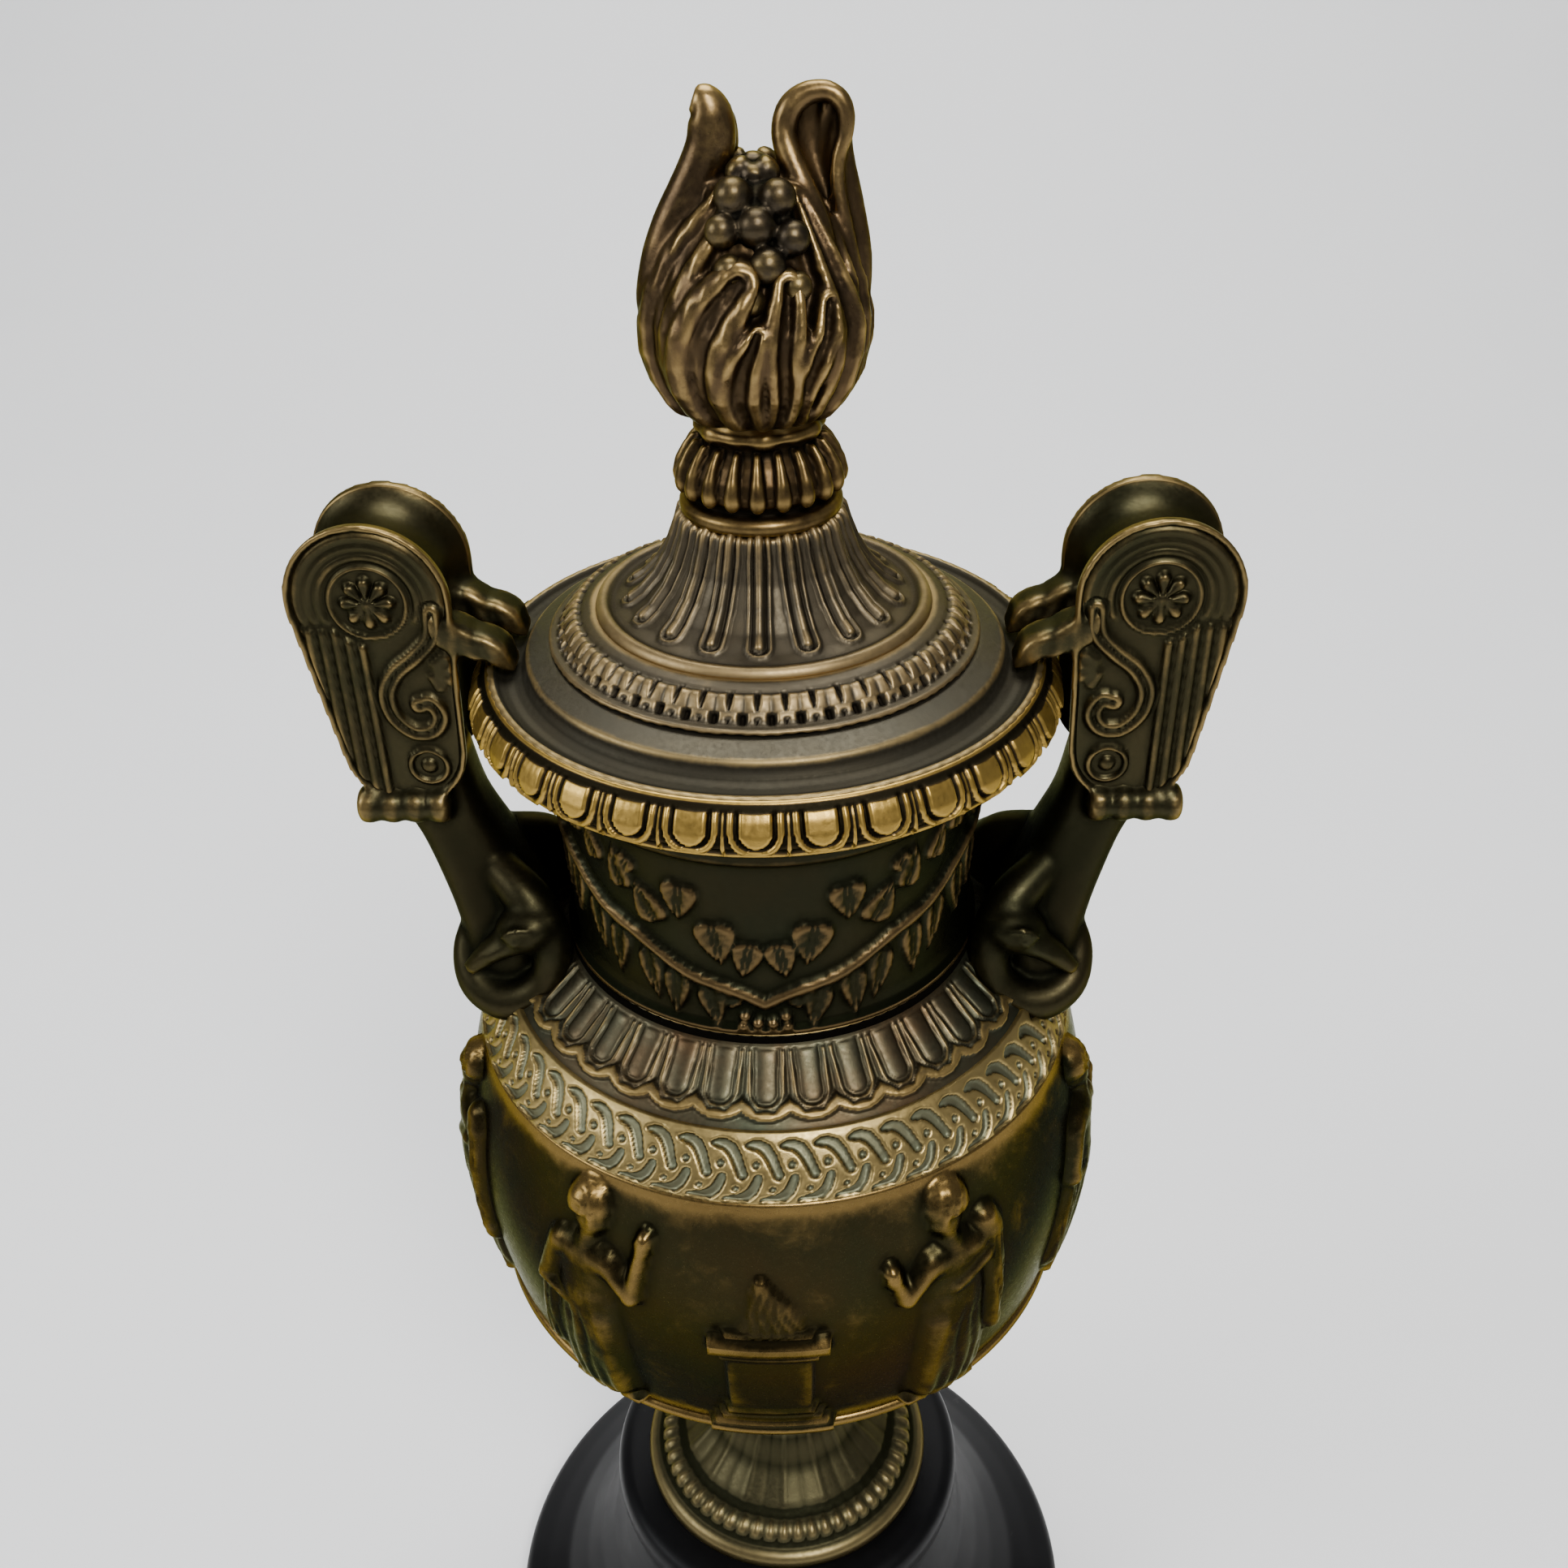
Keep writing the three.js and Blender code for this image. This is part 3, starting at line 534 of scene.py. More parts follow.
def tongue_relief(angle, travel, height):
    part = np.abs(repeat(angle, 36)) * 2
    x = part * 4.85 * np.clip(1 - (travel - 4) * 0.0148, 0.7, 1.1)
    scallop = travel - 2.0 - 1.5 * part * part
    ledge = 1.1 * within(scallop, -0.3, 0.4, 1.9, 1.8)
    around = np.hypot(x, np.clip(7.4 - travel, 0, None) * 1.05)
    on = 1 - ease((travel - 15.2) / 0.5)
    tongue = 0.55 * dome(around, 2.35) + 0.1
    outline = 0.7 * ease((0.72 - np.abs(around - 3.35)) / 0.3)
    inside = ease((4.15 - around) / 0.2)
    raised = np.where(inside > 0, on * np.maximum(tongue * (around < 2.35), outline), ledge)
    return raised - 0.5 + 0.45 * line_ridge(travel - 16.1, 1.0)


store_wear_and_shade(turned("bronze_tongues", [(56.3, 251.5), (55.8, 251.7), (54.6, 252.6), (50.4, 255.6), (45.4, 259.6),
               (43.2, 261.8), (42.4, 263.2)], 792, 44, [(38, 263), (50, 252)], tongue_bronze, rounding=0.5,
               relief=tongue_relief), passes=6, plateaus=0.28,
        shade_and_wear_by_height=lambda heights: 0.16 * ease((256 - heights) / 3))


# ---------------------------------------------------------------- body: neck
# A plain drum, wrapped by two vine branches that come down to meet low on the front. Pointed leaves
# with midribs and small clusters of berries grow from them, all cast in low relief.

neck_bronze = patinated_bronze("green_black_bronze", "101209", "1f2117", "262216", "6f5a3a", 0.1, 0.55,
                               rub_most=0.75, deep_at=0.7, shine=0.33)
NECK, NECK_FOOT = 41.8, 264.4


def headed(x, y, root, heading):
    """How far each place lies from root along heading, in degrees from upright, and across it."""
    turn = math.radians(heading)
    along = (x - root[0]) * math.sin(turn) + (y - root[1]) * math.cos(turn)
    return along, (x - root[0]) * math.cos(turn) - (y - root[1]) * math.sin(turn)


def vine_leaf(x, y, root, heading, length, width):
    """A heart-shaped leaf with midrib and side veins, that grows from root along heading."""
    along, across = headed(x, y, root, heading)
    part = np.clip(along / length, 0, 1)
    half = width * np.sin(np.pi * part ** 0.55) ** 0.7 * (1 - 0.15 * part)
    inside = ease((half - np.abs(across)) / 0.8) * ease(along / 0.6) * (along < length)
    midrib = -0.4 * dome(np.abs(across) - 0.5, 0.3)
    veins = 0.07 * np.cos((along - 0.8 * np.abs(across)) * 2.6)
    return inside * (1.0 + midrib + veins + 0.2 * np.abs(across) / width)


def branch_height(x):
    """How high the vine runs above the drum's foot, at x mm along the drum."""
    return 6.4 + 0.42 * np.abs(x) + 0.5 * np.sin(np.abs(x) * 0.32)


# leaves of one side: mm along the drum from the middle, mm above its foot, heading, length, half width
VINE_LEAVES = [(2.4, 21, 168, 9, 3.6), (9.6, 25, 190, 10, 4.6), (15.4, 33, 176, 9, 4.2),
               (20.4, 22, 30, 9.6, 4.2), (28, 27, 14, 9.6, 3.4), (26, 35, 150, 6.6, 2.6),
               (35, 30, 22, 8.4, 3), (42, 33, 10, 7.6, 3.2), (4.6, 8.4, 130, 6.4, 2.4),
               (10.6, 9.6, 190, 10, 3.4), (16.8, 12, 176, 11.4, 3.4), (23.4, 14.6, 190, 12, 3.2),
               (30, 17.4, 176, 12.4, 3.2), (37, 20.4, 188, 12.4, 3.2), (44, 23.6, 176, 12.4, 3.2),
               (51, 26, 186, 12, 3.4), (52, 35, 170, 7, 3)]


def neck_relief(angle, travel, height):
    """The vine, the same on both sides and behind, between two fine raised lines."""
    turn = np.where(angle > np.pi, angle - TURN, angle)
    from_front = np.abs(turn) * NECK
    x = np.minimum(from_front, np.pi * NECK - from_front)
    y = height - NECK_FOOT
    lift = 1.6 * dome((y - branch_height(x)) * 0.95, 1.5 * (1 + 0.12 * np.sin(x * 1.1)))
    lift = np.maximum(lift, 0.9 * dome((y - branch_height(x) - 1.1 * np.sin(x * 0.5)) * 0.95, 0.8))
    for place, level, heading, length, width in VINE_LEAVES:
        lift = np.maximum(lift, vine_leaf(x, y, (place, level), heading, length, width))
    for place, level in [(3.8, 3.4), (4.1, 1), (1.4, 1.8)]:
        lift = np.maximum(lift, 2.0 * dome(np.hypot(x - place, y - level), 1.3))
    base = 0.7 * line_ridge(height - 264.3, 1.5)
    top = 0.5 * line_ridge(height - 303.6, 1.6)
    fade = within(height, 264.2, 0.6, 301.6, 1)
    return np.maximum(lift * fade, base + top)


store_wear_and_shade(turned("bronze_neck", [(42.2, 263.2), (42.6, 264), (42, 265.4), (41.6, 267.6), (41.5, 285),
               (41.9, 302), (42.6, 305.4), (44.4, 308.6), (47.4, 311.4), (51.4, 313.2),
               (53.4, 313.8)], 528, 74, [(40, 314), (37.6, 308), (37.6, 268)], neck_bronze,
               relief=neck_relief), passes=12, plateaus=0.08)


# ---------------------------------------------------------------- body: rim
# The rim is cast with the neck: a bold egg-and-dart ovolo, rubbed bright, a fillet, a hollow, and a
# wide smooth ring that slopes up to the seat of the lid.

rim_bronze = patinated_bronze("brushed_rim_bronze", "1c180f", "3e3426", "4c3c22", "b09049", -0.05, 0.14,
                              rub_most=0.95, deep_at=0.35, shine=0.31)
ring_bronze = patinated_bronze("grey_brown_bronze", "211f18", "4b483e", "504a3c", "9c8658", 0.08, 0.3,
                               rub_most=0.8, shine=0.45)


def egg_relief(angle, travel, height):
    """Broad flat eggs, each in a thin shell, with a narrow dart between one shell and the next."""
    x = repeat(angle, 32) * 11.2
    y = travel - 2.6
    depth = np.clip(5.9 - y, 0, None)
    around = np.hypot(x, depth * 0.92)
    on = within(y, -0.6, 0.4, 8.8, 0.4)
    egg = ease((3.15 - around) / 0.35)
    shell = 0.9 * ease((0.68 - np.abs(around - 4.3)) / 0.3)
    gap = np.abs(np.abs(x) - 5.6)
    dart = 0.85 * ease((0.38 - gap) / 0.2) * (around > 5.1)
    between = 0.1 * (around > 5.1)
    scratch = 0.02 * np.sin(y * 17 + 3 * np.sin(x * 2 + angle * 17))
    return on * (1.25 * np.maximum.reduce([egg, shell, dart, between]) - 0.8 + scratch)


store_wear_and_shade(turned("bronze_egg_and_dart", [(53.4, 313.8), (54.8, 314), (55.6, 315), (55.8, 315.6), (56.7, 316.2),
               (56.8, 317.2), (56.4, 319.2), (55.3, 321.4), (53.9, 323.2), (52.9, 324.1)], 832, 36,
               [(50, 323), (48, 314.6)], rim_bronze, relief=egg_relief),
        plateaus=0.22, shade_and_wear_by_height=lambda heights: -0.8 * ease((heights - 322.5) / 0.6))


def ring_relief(angle, travel, height):
    """Fine ticks at the outer edge, and a ring that is not quite level."""
    tick = ease((0.25 - np.abs(repeat(angle, 96)) * 2) / 0.2) * ease((1.3 - travel) / 0.3)
    return -0.25 * tick + 0.05 * np.sin(angle * 5) * ease((travel - 3) / 2)


store_wear_and_shade(turned("bronze_seat_ring", [(52.9, 324.1), (52.4, 324.5), (51.6, 324.4), (51, 323.5),
               (49.6, 322.9), (47.8, 323), (46.3, 323.8), (45.7, 325), (45.5, 326.3), (45.1, 326.9),
               (43, 327.7), (40.9, 328.5), (39.4, 328.68), (36.8, 328.68)], 288, 48,
               [(36.4, 328.2), (36.4, 320), (50, 321)], ring_bronze, rounding=0.35, relief=ring_relief),
        passes=12, shade_and_wear_by_height=lambda heights: -0.06 * ease((325.3 - heights) / 0.6))


# ---------------------------------------------------------------- body: inside wall
# The inside of the urn is left as it came from the mould: a plain hollow in a wall about 4 mm thick,
# dark and dull. It shows only with the lid lifted off.

raw_bronze = patinated_bronze("raw_cast_bronze", "0f0d0a", "221e17", "2c261c", "5c4c2e", 0.2, 0.5, shine=0.6)
store_wear_and_shade(turned("bronze_inside", [(36.4, 320.6), (37.4, 314), (37.4, 268), (43, 258.6), (49.6, 250), (60, 236),
               (65, 214), (63.4, 190), (55, 169.5), (35, 152), (12, 145.6), (0.05, 145.2)], 96, 60,
               [(0.05, 144.6), (36, 151), (64.2, 190), (65.8, 214), (50.4, 250.8), (38, 268.6), (38, 314),
                (37, 320.6)], raw_bronze, rounding=1.5))


# ---------------------------------------------------------------- handles
# Two heavy handles, each cast in one: a pair of scrolled faces joined by a hollow channel, a ribbed
# roll under them, knuckled arms to the rim, and a stem that ends in two swans' heads on the shoulder.

handle_bronze = patinated_bronze("grey_brown_handle_bronze", "12120b", "2e2d1e", "3a3322", "937c4e", 0.12,
                                 0.7, rub_most=0.75, deep_at=0.7, shine=0.33)
HEAD, TAIL = np.array([72.0, 339.0, 15.4]), np.array([70.0, 307.0, 12.0])  # x, z and radius
FACE_Y = 11.3


def loft(rings):
    """A closed solid over a stack of rings of points, with a fan over each end."""
    rings = np.asarray(rings, float)
    count, sides = rings.shape[:2]
    row, column = np.meshgrid(np.arange(count - 1), np.arange(sides), indexing="ij")
    after = (column + 1) % sides
    base = row * sides
    quads = np.stack([base + column, base + after, base + sides + after, base + sides + column], -1)
    faces = [tuple(quad) for quad in quads.reshape(-1, 4).tolist()]
    faces.append(tuple(range(sides))[::-1])
    faces.append(tuple(range((count - 1) * sides, count * sides)))
    return rings.reshape(-1, 3), faces


def tube(x, y, z):
    """A closed solid over rings whose points are given as x, y and z, a ring in each row."""
    return loft(np.stack(np.broadcast_arrays(x, y, z), 2))


def whole_turn(sides, power=1.0):
    """Cosine and sine of a whole turn in steps. A power below 1 makes their ring squarer."""
    turn = np.arange(sides) / sides * TURN
    return [np.sign(part) * np.abs(part) ** power for part in (np.cos(turn), np.sin(turn))]


def curve_through(points, count):
    """Evenly counted points on a smooth curve through the given ones, each a row of any numbers."""
    given = np.asarray(points, float)
    padded = np.concatenate([2 * given[:1] - given[1:2], given, 2 * given[-1:] - given[-2:-1]])
    out = []
    just_short = 1e-9
    for t in np.linspace(0, len(given) - 1 - just_short, count):
        k, f = int(t), t - int(t)
        a, b, c, d = padded[k:k + 4]
        out.append(0.5 * (2 * b + (c - a) * f + (2 * a - 5 * b + 4 * c - d) * f ** 2
                          + (3 * b - a - 3 * c + d) * f ** 3))
    return np.array(out)


def rod(points, sides=16, count=24, flatten=1.0):
    """A round bar along a smooth curve through points [x, y, z, radius]."""
    curve = curve_through(points, count)
    centre, radius = curve[:, :3], np.maximum(curve[:, 3], 0.05)
    along = np.gradient(centre, axis=0)
    along /= np.linalg.norm(along, axis=1)[:, None]
    side = np.cross(along[0], (0, 0, 1) if abs(along[0][2]) < 0.9 else (1, 0, 0))
    cosine, sine = [part[:, None] for part in whole_turn(sides)]
    rings = []
    for k in range(count):
        side = side - along[k] * side.dot(along[k])
        side = side / np.linalg.norm(side)
        up = np.cross(along[k], side)
        rings.append(centre[k] + radius[k] * (cosine * side + flatten * sine * up))
    return loft(rings)


def ball(centre, radii, pitch=0.0, rings=12, sides=18):
    """A ball with three radii, tipped down by pitch degrees."""
    rise = np.pi * np.arange(1, rings)[:, None] / rings
    cosine, sine = whole_turn(sides)
    points, faces = tube(-np.cos(rise) * radii[0], np.sin(rise) * cosine * radii[1],
                         np.sin(rise) * sine * radii[2])
    spin = Matrix.Rotation(math.radians(pitch), 3, "Y")
    return points @ np.array(spin).T + np.array(centre), faces


def cast_together(name, solids, grain, material, node, easing=2):
    """One casting from overlapping solids: they are fused on a grid of grain mm and eased smooth."""
    points, faces, start = [], [], 0
    for some_points, some_faces in solids:
        points.append(some_points)
        faces += [tuple(int(v) + start for v in face) for face in some_faces]
        start += len(some_points)
    rough = bpy.data.meshes.new(name)
    rough.from_pydata((np.concatenate(points) * MM).tolist(), [], faces)
    lump = placed(name, rough)
    fuse = lump.modifiers.new("fuse", "REMESH")
    fuse.mode, fuse.voxel_size, fuse.use_smooth_shade = "VOXEL", grain * MM, True
    settle = lump.modifiers.new("settle", "SMOOTH")
    settle.factor, settle.iterations = 0.5, easing
    fused = bpy.data.meshes.new_from_object(lump.evaluated_get(bpy.context.evaluated_depsgraph_get()))
    bpy.data.objects.remove(lump)
    return dressed(name, fused, material, node)


def volute_outline(inset, count=64):
    """The outline of a scrolled face, a round head and a smaller round tail, drawn in by inset mm,
    with the point on its middle line that faces each place on it. Clockwise from in front."""
    axis, apart = math.atan2(HEAD[1] - TAIL[1], HEAD[0] - TAIL[0]), math.dist(HEAD[:2], TAIL[:2])
    spread = math.acos((TAIL[2] - HEAD[2]) / apart)
    between = np.linspace(0, 1, int(count * 0.18) + 2)[1:-1]
    stations = [(*HEAD, turn) for turn in np.linspace(axis + spread, axis - spread, int(count * 0.4))]
    stations += [(*(HEAD + (TAIL - HEAD) * part), axis - spread) for part in between]
    stations += [(*TAIL, turn) for turn in np.linspace(axis - spread + TURN, axis + spread,
                                                       int(count * 0.24))]
    stations += [(*(TAIL + (HEAD - TAIL) * part), axis + spread) for part in between]
    x, z, radius, turn = np.array(stations).T
    places = x + (radius - inset) * np.cos(turn), z + (radius - inset) * np.sin(turn)
    return np.stack(places, 1), np.stack([x, z], 1)


def spool():
    """The two faces' raised borders and the hollow channel between them."""
    half = [(9.2, 1.9), (9.8, 1.2), (11.1, 0.9), (11.3, 0.5), (11.2, 0.15), (10.6, 0), (9.4, 0), (8.8, 0.3),
            (8.4, 0.9), (7.4, 1.9), (5.6, 3.1), (3.2, 3.9), (1, 4.1)]
    layers = [(-y, inset) for y, inset in half] + half[::-1]
    outlines = np.array([volute_outline(inset)[0] for _, inset in layers])
    return tube(outlines[..., 0], np.array(layers)[:, :1], outlines[..., 1])


def ribbed_roll(side):
    """The roll under a face: a short bar of four round swellings, lying across the stem's head."""
    part = np.linspace(0, 1, 61)[:, None]
    end = np.minimum(1, (1 - np.abs(2 * part - 1)) / 0.1)
    swelling = 2.7 + np.abs(np.sin(4 * np.pi * part)) ** 0.6
    radius = swelling * np.sqrt(1 - (1 - end) ** 2) + 0.2
    cosine, sine = whole_turn(28)
    return tube(62.4 + 19 * part, side * 9.4 + radius * cosine, 294.4 + radius * sine)


def stem():
    """The stem under the rolls: it leans in to the shoulder and spreads sideways where it lands."""
    rows = curve_through([(303, 69.4, 9.2, 8.4), (292, 66.6, 8.6, 8.2), (284, 63.2, 8.4, 8.8),
                          (274, 59.4, 9, 11), (266, 56.8, 9.4, 13.6), (258, 56, 9, 15.6),
                          (251, 56.4, 7.6, 15.8), (246, 57.6, 5.4, 14)], 40)
    z, x, half_x, half_y = rows[::-1].T[:, :, None]
    cosine, sine = whole_turn(36, 0.7)
    return tube(x + half_x * cosine, half_y * sine, z)


def swan(side):
    """A swan's head that looks outward and down, over a thick neck curled beneath it."""
    y = 16.5 * side
    neck = rod([(56, y - 10 * side, 277, 4), (49.4, y - 5 * side, 272, 4.8), (45, y - 1.4 * side, 265, 4.3),
                (45.4, y + 0.4 * side, 257, 4.2), (49.6, y + side, 251.8, 4.4),
                (56, y + 0.4 * side, 250, 4.6), (61.6, y - 2 * side, 252.6, 4.2),
                (63.6, y - 6 * side, 258, 3.6), (62, y - 10 * side, 264, 3)], count=40)
    skull = ball((49.6, y - side, 267.6), (6.8, 5.5, 5.3), pitch=16)
    crown = ball((46.4, y - 1.6 * side, 268.8), (4.6, 4, 4))
    bill = rod([(50.4, y, 267, 4.7), (54.8, y + 0.6 * side, 264.8, 3.7), (58.8, y + side, 262, 2.9),
                (62.2, y + 1.2 * side, 258.8, 1.9)], count=18, flatten=0.8)
    lore = rod([(53.4, y + 4 * side, 266, 0.7), (56.6, y + 3.6 * side, 264, 0.9),
                (59.8, y + 3 * side, 261.4, 0.6)], 8, 12)
    brow = rod([(48.4, y + 3.8 * side, 270.4, 0.7), (51.2, y + 4 * side, 270.6, 0.9),
                (54.2, y + 3.6 * side, 268.6, 0.6)], 8, 12)
    eye = ball((51.4, y + 4.1 * side, 268), (1.5, 1.1, 1.2), rings=8, sides=10)
    return [neck, skull, crown, bill, lore, brow, eye]


def knuckled_arm(side):
    """One of the arms from the face to the rim: a thick square bar with three knuckles along its top."""
    part = np.linspace(0, 1, 50)[::-1, None]
    knuckle = np.abs(np.sin(3 * np.pi * part ** 0.9)) ** 0.35
    half_y, half_z = 3.3 + 0.7 * knuckle, 3.1 + 1.3 * knuckle - 0.9 * part
    cosine, sine = whole_turn(28, 0.5)
    return tube(62 - 15 * part + 0.28 * half_z * sine, 7.0 * side + half_y * cosine,
                333.6 - 6.6 * part + half_z * sine)


def face_relief(x, z, inset):
    """Relief on a scrolled face, in mm: rosette, reeds that run round it into an S-scroll, palmette."""
    u, v = x - HEAD[0], z - HEAD[1]
    r, turn = np.hypot(u, v), np.arctan2(u, v)
    petals = np.abs(np.cos(turn * 4)) ** 0.55
    lift = 1.5 * dome(r, 1.7)
    petal = (1.25 * petals + 0.1) * ease((5.6 * (0.62 + 0.38 * petals) - r) / 1.1)
    lift = np.maximum(lift, petal * (r > 1.3))
    lift = np.maximum(lift, 0.8 * line_ridge(r - 7.1, 1.1))
    for reed in (9.2, 11.1, 13.0):
        lift = np.maximum(lift, 0.75 * line_ridge(r - reed, 1.9) * ease((v + 5) / 1.5))
    flutes = np.abs(np.sin((u - 1.2) / 2.35 * np.pi)) ** 0.6
    lift = np.maximum(lift, 1.1 * flutes * ease((u - 1.2) / 0.5) * ease((-4 - v) / 2) * ease((r - 8.3) / 0.8))
    path = curve_through([(-11.4, -2), (-10.6, -7), (-7, -11), (-3, -14.4), (-0.6, -19), (-1.4, -24),
                          (-4.8, -27.4), (-8.4, -27), (-10.2, -24), (-8.8, -21), (-6.4, -21.4)], 70)
    scroll = np.minimum.reduce([from_line(u, v, a, b)[1] for a, b in zip(path[:-1], path[1:])])
    lift = np.where(scroll < 2.3, 0.1, lift)
    lift = np.maximum(lift, 1.2 * line_ridge(scroll - 0.95, 1.8))
    for k in range(4):
        along, across = headed(u, v, (-9.4, -14), -158 + 36 * k)
        leaf = 0.8 * dome(across, 1.3) * ease(along / 1.5) * ease((5.6 - along) / 1.2)
        lift = np.maximum(lift, leaf * (scroll > 1.4))
    curl = np.hypot(u + 6.4, v + 35.2)
    lift = np.where(curl < 4.6, 0.1, lift)
    lift = np.maximum(lift, np.maximum(0.95 * line_ridge(curl - 3.6, 1.4), 1.1 * dome(curl, 1.7)))
    return lift * ease((inset - 0.6) / 0.6)


def scrolled_face(side):
    """The carved plate let into one face, front (-1) or back (1)."""
    edge, middles = volute_outline(0.3, 260)
    reach = np.hypot(*(edge - middles).T)
    part = np.concatenate([[1, 0], np.linspace(0, 1, 38)])[:, None]
    x, z = [outer + (inner - outer) * part for outer, inner in zip(edge.T, middles.T)]
    y = side * (FACE_Y - 1.5 + face_relief(x, z, reach * part))
    y[:2] = side * (FACE_Y - 2.6)
    points, quads = closed_band(np.stack([x, y, z], 2), [])
    quads = quads[:-len(edge)]
    return points, quads if side > 0 else quads[:, ::-1]


def weld(piece):
    """Joins the points of a mesh that lie on each other."""
    shape = bmesh.new()
    shape.from_mesh(piece.data)
    bmesh.ops.remove_doubles(shape, verts=shape.verts, dist=1e-6)
    shape.to_mesh(piece.data)
    shape.free()
    piece.data.shade_smooth()
    return piece


for hand, spin in (("right", (1, 1, 1)), ("left", (-1, -1, 1))):
    node = "handle_" + hand
    solids = [spool(), stem()]
    for side in (-1, 1):
        solids += [ribbed_roll(side), *swan(side), knuckled_arm(side)]
    solids = [(points * spin, faces) for points, faces in solids]
    # Below 300 mm the stem and the swans are pushed towards the dark hollow colour and rub less: painted shade
    # under the rim.
    store_wear_and_shade(cast_together("handle_casting_" + hand, solids, 0.82, handle_bronze, node), passes=12,
            shade_and_wear_by_height=lambda heights: -0.4 * ease((300 - heights) / 16))
    for side, place in ((-1, "front"), (1, "back")):
        points, faces = scrolled_face(side)
        plate = add_mesh(f"handle_face_{place}_{hand}", points * spin, faces, handle_bronze, node, "bronze")
        store_wear_and_shade(weld(plate), passes=14)


# ---------------------------------------------------------------- lid
# The lid is a thin casting that lifts straight off: a plain edge, a little frayed, a ring of small
# arched leaves, a round bead, and a hollow-sided cone set with eighteen raised loops.

lid_bronze = patinated_bronze("grey_brown_lid_bronze", "1b1712", "4d473b", "544b3a", "98825a", 0.06, 0.42,
                              rub_most=0.85, deep_at=0.45, shine=0.42)


def leaf_ring_relief(angle, travel, height):
    """Small arched leaves side by side: a deep round-topped hole where two meet at the outer edge, and
    a narrow wedge cut into the middle of each from the inner one."""
    x = repeat(angle, 48) * 4.6
    y = travel - 3.6
    on = within(y, 0, 0.5, 5.6, 0.5)
    hole = ease((0.88 - np.hypot(np.abs(x) - 2.3, np.clip(y - 1.5, 0, None))) / 0.4)
    wedge = ease((0.42 + 0.1 * (y - 4) - np.abs(x)) / 0.25) * ease((y - 2.6) / 0.5)
    notch = ease((0.5 - np.hypot(x, y - 0.6)) / 0.3)
    rounded = 1.25 * dome(y - 2.8, 3.2) * (0.7 + 0.3 * dome(x, 2.3))
    fray = 0.25 * ease((0.5 - np.abs(travel - 1.1)) / 0.3) * np.sin(angle * 61) * np.sin(angle * 37 + 1)
    return on * (rounded - 1.35 * np.maximum.reduce([hole, wedge, 0.8 * notch])) + fray * 0.6


store_wear_and_shade(turned("lid_leaf_ring", [(39.6, 329.02), (40.6, 329.02), (40.85, 329.4), (40.5, 329.9),
               (39.4, 330), (38, 330.3), (36.9, 331), (36.3, 332), (35.6, 333.1), (34, 334.3),
               (32.6, 334.8), (31.4, 334.7)], 672, 34, [(30, 332.6), (33.4, 331), (36, 329.06)], lid_bronze,
               "lid", "lid_bronze", rounding=0.3, relief=leaf_ring_relief), passes=9, plateaus=0.15)


def loop_relief(angle, travel, height):
    """A rod with a round end inside a thin raised outline, eighteen times round the cone."""
    radius = 28.6 - 0.62 * travel
    across = np.abs(repeat(angle, 18)) / 18 * TURN * np.clip(radius, 13.6, None)
    from_end = np.clip(8.9 - travel, 0, None)
    around = np.hypot(across, from_end)
    narrowing = 1 - 0.012 * travel
    rod_height = 1.3 * dome(around, 1.15 * narrowing)
    outline = 0.65 * line_ridge(around - 2.15 * narrowing, 1.0)
    return np.maximum(rod_height, outline)


store_wear_and_shade(turned("lid_cone", [(31.6, 334.6), (31.3, 335.6), (30.5, 336.4), (29.4, 336.3), (28.8, 335.6),
               (28.2, 335.3), (25.4, 336.2), (22.4, 338.2), (19.4, 341.4), (17, 345.4), (15.4, 349.6),
               (14.6, 352.4), (14.2, 352.8), (13.4, 352.8)], 432, 60,
               [(12.4, 352.4), (11, 348.2), (15.6, 340), (28, 333.2)], lid_bronze, "lid", "lid_bronze",
               rounding=0.3, relief=loop_relief))
turned("lid_inside", [(36, 329.04), (34.9, 328.9), (34.9, 324.6), (33, 324.6), (33, 329.6), (28, 332.4),
       (15.6, 339.8), (11, 347.6), (0.05, 348.6)], 96, 60,
       [(0.05, 349.4), (11.6, 348.4), (16, 340.6), (28.4, 333), (33.4, 330.6)], raw_bronze, "lid",
       "lid_bronze")


# ---------------------------------------------------------------- finial: knop and collar
# The finial is fixed on the lid and is what it is lifted by. It rises from a bright ring through a
# ribbed knop to an uneven hand-filed collar, where the bud begins.

bright_bronze = patinated_bronze("rubbed_knop_bronze", "130f0a", "382d1e", "4a3923", "a08550", 0.03, 0.4,
                                 rub_most=0.85, deep_at=0.3, shine=0.33)


def knop_relief(angle, travel, height):
    """Twenty ribs with round lower ends, under a collar that is not quite round."""
    ribs = within(height, 356.8, 0.5, 366.4, 1.2)
    across = np.abs(repeat(angle, 20)) * 2
    low = np.clip(359.2 - height, 0, None)
    around = np.hypot(across * 2.15, low)
    rib = 1.7 * dome(around, 1.5 - 0.09 * np.clip(height - 360, 0, None))
    collar = 0.22 * np.sin(angle * 7 + 1) + 0.16 * np.sin(angle * 13)
    on_collar = within(height, 367.4, 0.8, 370.4, 1)
    return ribs * (rib - 0.5) + on_collar * collar


store_wear_and_shade(turned("finial_knop", [(13.2, 353.1), (14.4, 353.3), (14.9, 354.2), (14.8, 355.4), (14, 356.2),
               (12.8, 356.5), (12.6, 356.8), (14.2, 358.2), (14.6, 360), (14, 362.4), (12.6, 364.8),
               (11, 366.6), (10.5, 367.4), (11.2, 368.2), (11.8, 369), (11.6, 370), (10.8, 370.8),
               (10.4, 371.6)], 360, 50, [(6, 372), (0.05, 372), (0.05, 353.1), (8, 353.1)], bright_bronze,
               "finial", "lid_bronze", rounding=0.35, relief=knop_relief), passes=8)


